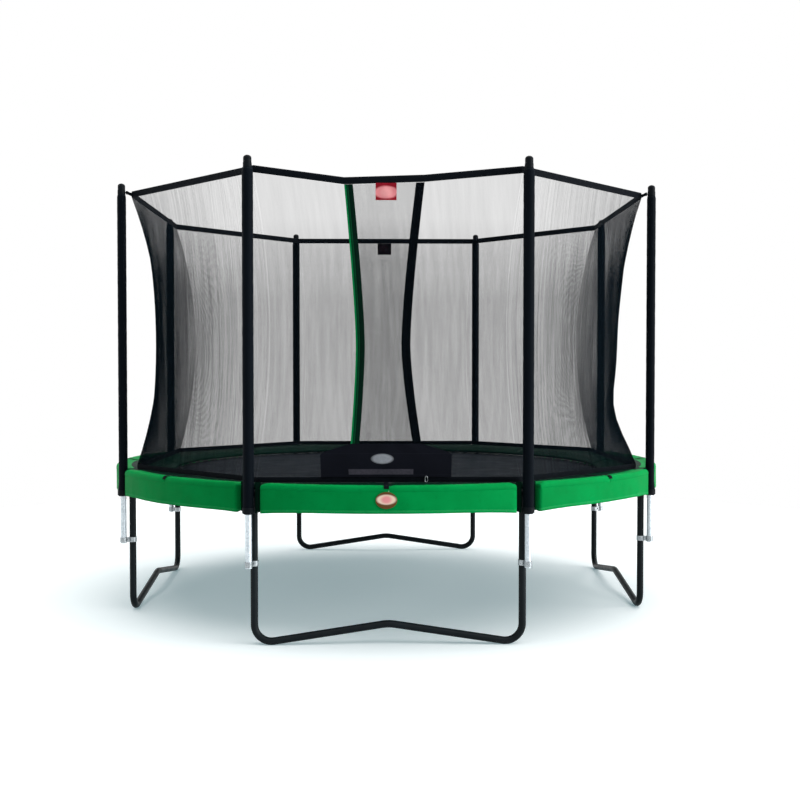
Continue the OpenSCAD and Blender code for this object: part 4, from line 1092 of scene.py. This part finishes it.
# Each lamp's name and strength, then the width of its light, its azimuth and its elevation in degrees
LAMPS = [("right_lamp", 3.1, 40, 70, 7), ("left_lamp", 0.8, 70, -98, 8), ("top_lamp", 2.75, 90, 92, 77)]
ROOM_STRENGTH = 0.26
FLOOR_R, FLOOR_GLOW = 6.5, 0.26
LENS, SENSOR = 48.14, 36
CAMERA_AT, CAMERA_TILT, CAMERA_TURN = (-0.0418, -7.941, 1.590), 88.57, -0.997


def seen_ray(m):
    """1 for rays from the camera, off gloss and through clear things, which see white, and 0 for light."""
    rays = add(m, "LightPath").outputs
    clear = sums(m, "MAXIMUM", rays["Is Glossy Ray"], rays["Is Transmission Ray"])
    return sums(m, "MAXIMUM", rays["Is Camera Ray"], clear)


def make_floor():
    """A round pale matt floor that keeps soft shadows and reads as white where nothing shades it. It
    throws less light back at the object than it shows."""
    m = bpy.data.materials.new("studio_floor")
    m.use_nodes = True
    m.node_tree.nodes.clear()
    seen = seen_ray(m)
    matt = add(m, "BsdfDiffuse", {"Color": blended(m, seen, (0.36, 0.36, 0.36, 1), (0.94, 0.92, 0.91, 1))})
    strength = sums(m, "MULTIPLY", seen, FLOOR_GLOW)
    glow = add(m, "Emission", {"Color": (0.60, 0.92, 1.0, 1), "Strength": strength})
    both = add(m, "AddShader", {0: matt.outputs[0], 1: glow.outputs[0]})
    add(m, "OutputMaterial", {"Surface": both.outputs[0]})
    mesh = bpy.data.meshes.new("studio_floor")
    rim_points = polar(np.arange(0, 360, 5), FLOOR_R, 0.0)
    mesh.from_pydata(rim_points.tolist(), [], [list(range(len(rim_points)))])
    mesh.materials.append(m)
    floor = bpy.data.objects.new("studio_floor", mesh)
    bpy.context.scene.collection.objects.link(floor)


def make_light():
    """An even pale room that shows as white, and three suns: right, left and fainter, and overhead."""
    world = bpy.data.worlds.new("white_room")
    world.use_nodes = True
    bpy.context.scene.world = world
    world.node_tree.nodes.clear()
    seen = seen_ray(world)
    room = add(world, "Background", {"Color": (0.93, 0.98, 1.0, 1), "Strength": ROOM_STRENGTH})
    white = add(world, "Background", {"Color": (1, 1, 1, 1), "Strength": 1.0})
    mix = add(world, "MixShader", {0: seen, 1: room.outputs[0], 2: white.outputs[0]})
    add(world, "OutputWorld", {"Surface": mix.outputs[0]})
    for name, strength, width, azimuth, elevation in LAMPS:
        lamp = bpy.data.lights.new(name, "SUN")
        lamp.energy = strength
        lamp.angle = math.radians(width)
        obj = bpy.data.objects.new(name, lamp)
        obj.rotation_euler = (math.radians(90 - elevation), 0, math.radians(azimuth))
        bpy.context.scene.collection.objects.link(obj)


def make_camera():
    """A camera in front, 1.6 m above the ground, that looks along +Y and slightly down."""
    camera = bpy.data.cameras.new("camera")
    camera.lens = LENS
    camera.sensor_width = SENSOR
    obj = bpy.data.objects.new("camera", camera)
    obj.location = CAMERA_AT
    obj.rotation_euler = (math.radians(CAMERA_TILT), 0, math.radians(CAMERA_TURN))
    bpy.context.scene.collection.objects.link(obj)
    bpy.context.scene.camera = obj


make_floor()
make_light()
make_camera()
bpy.context.scene.view_settings.view_transform = "Standard"
bpy.context.scene.cycles.transparent_max_bounces = 64
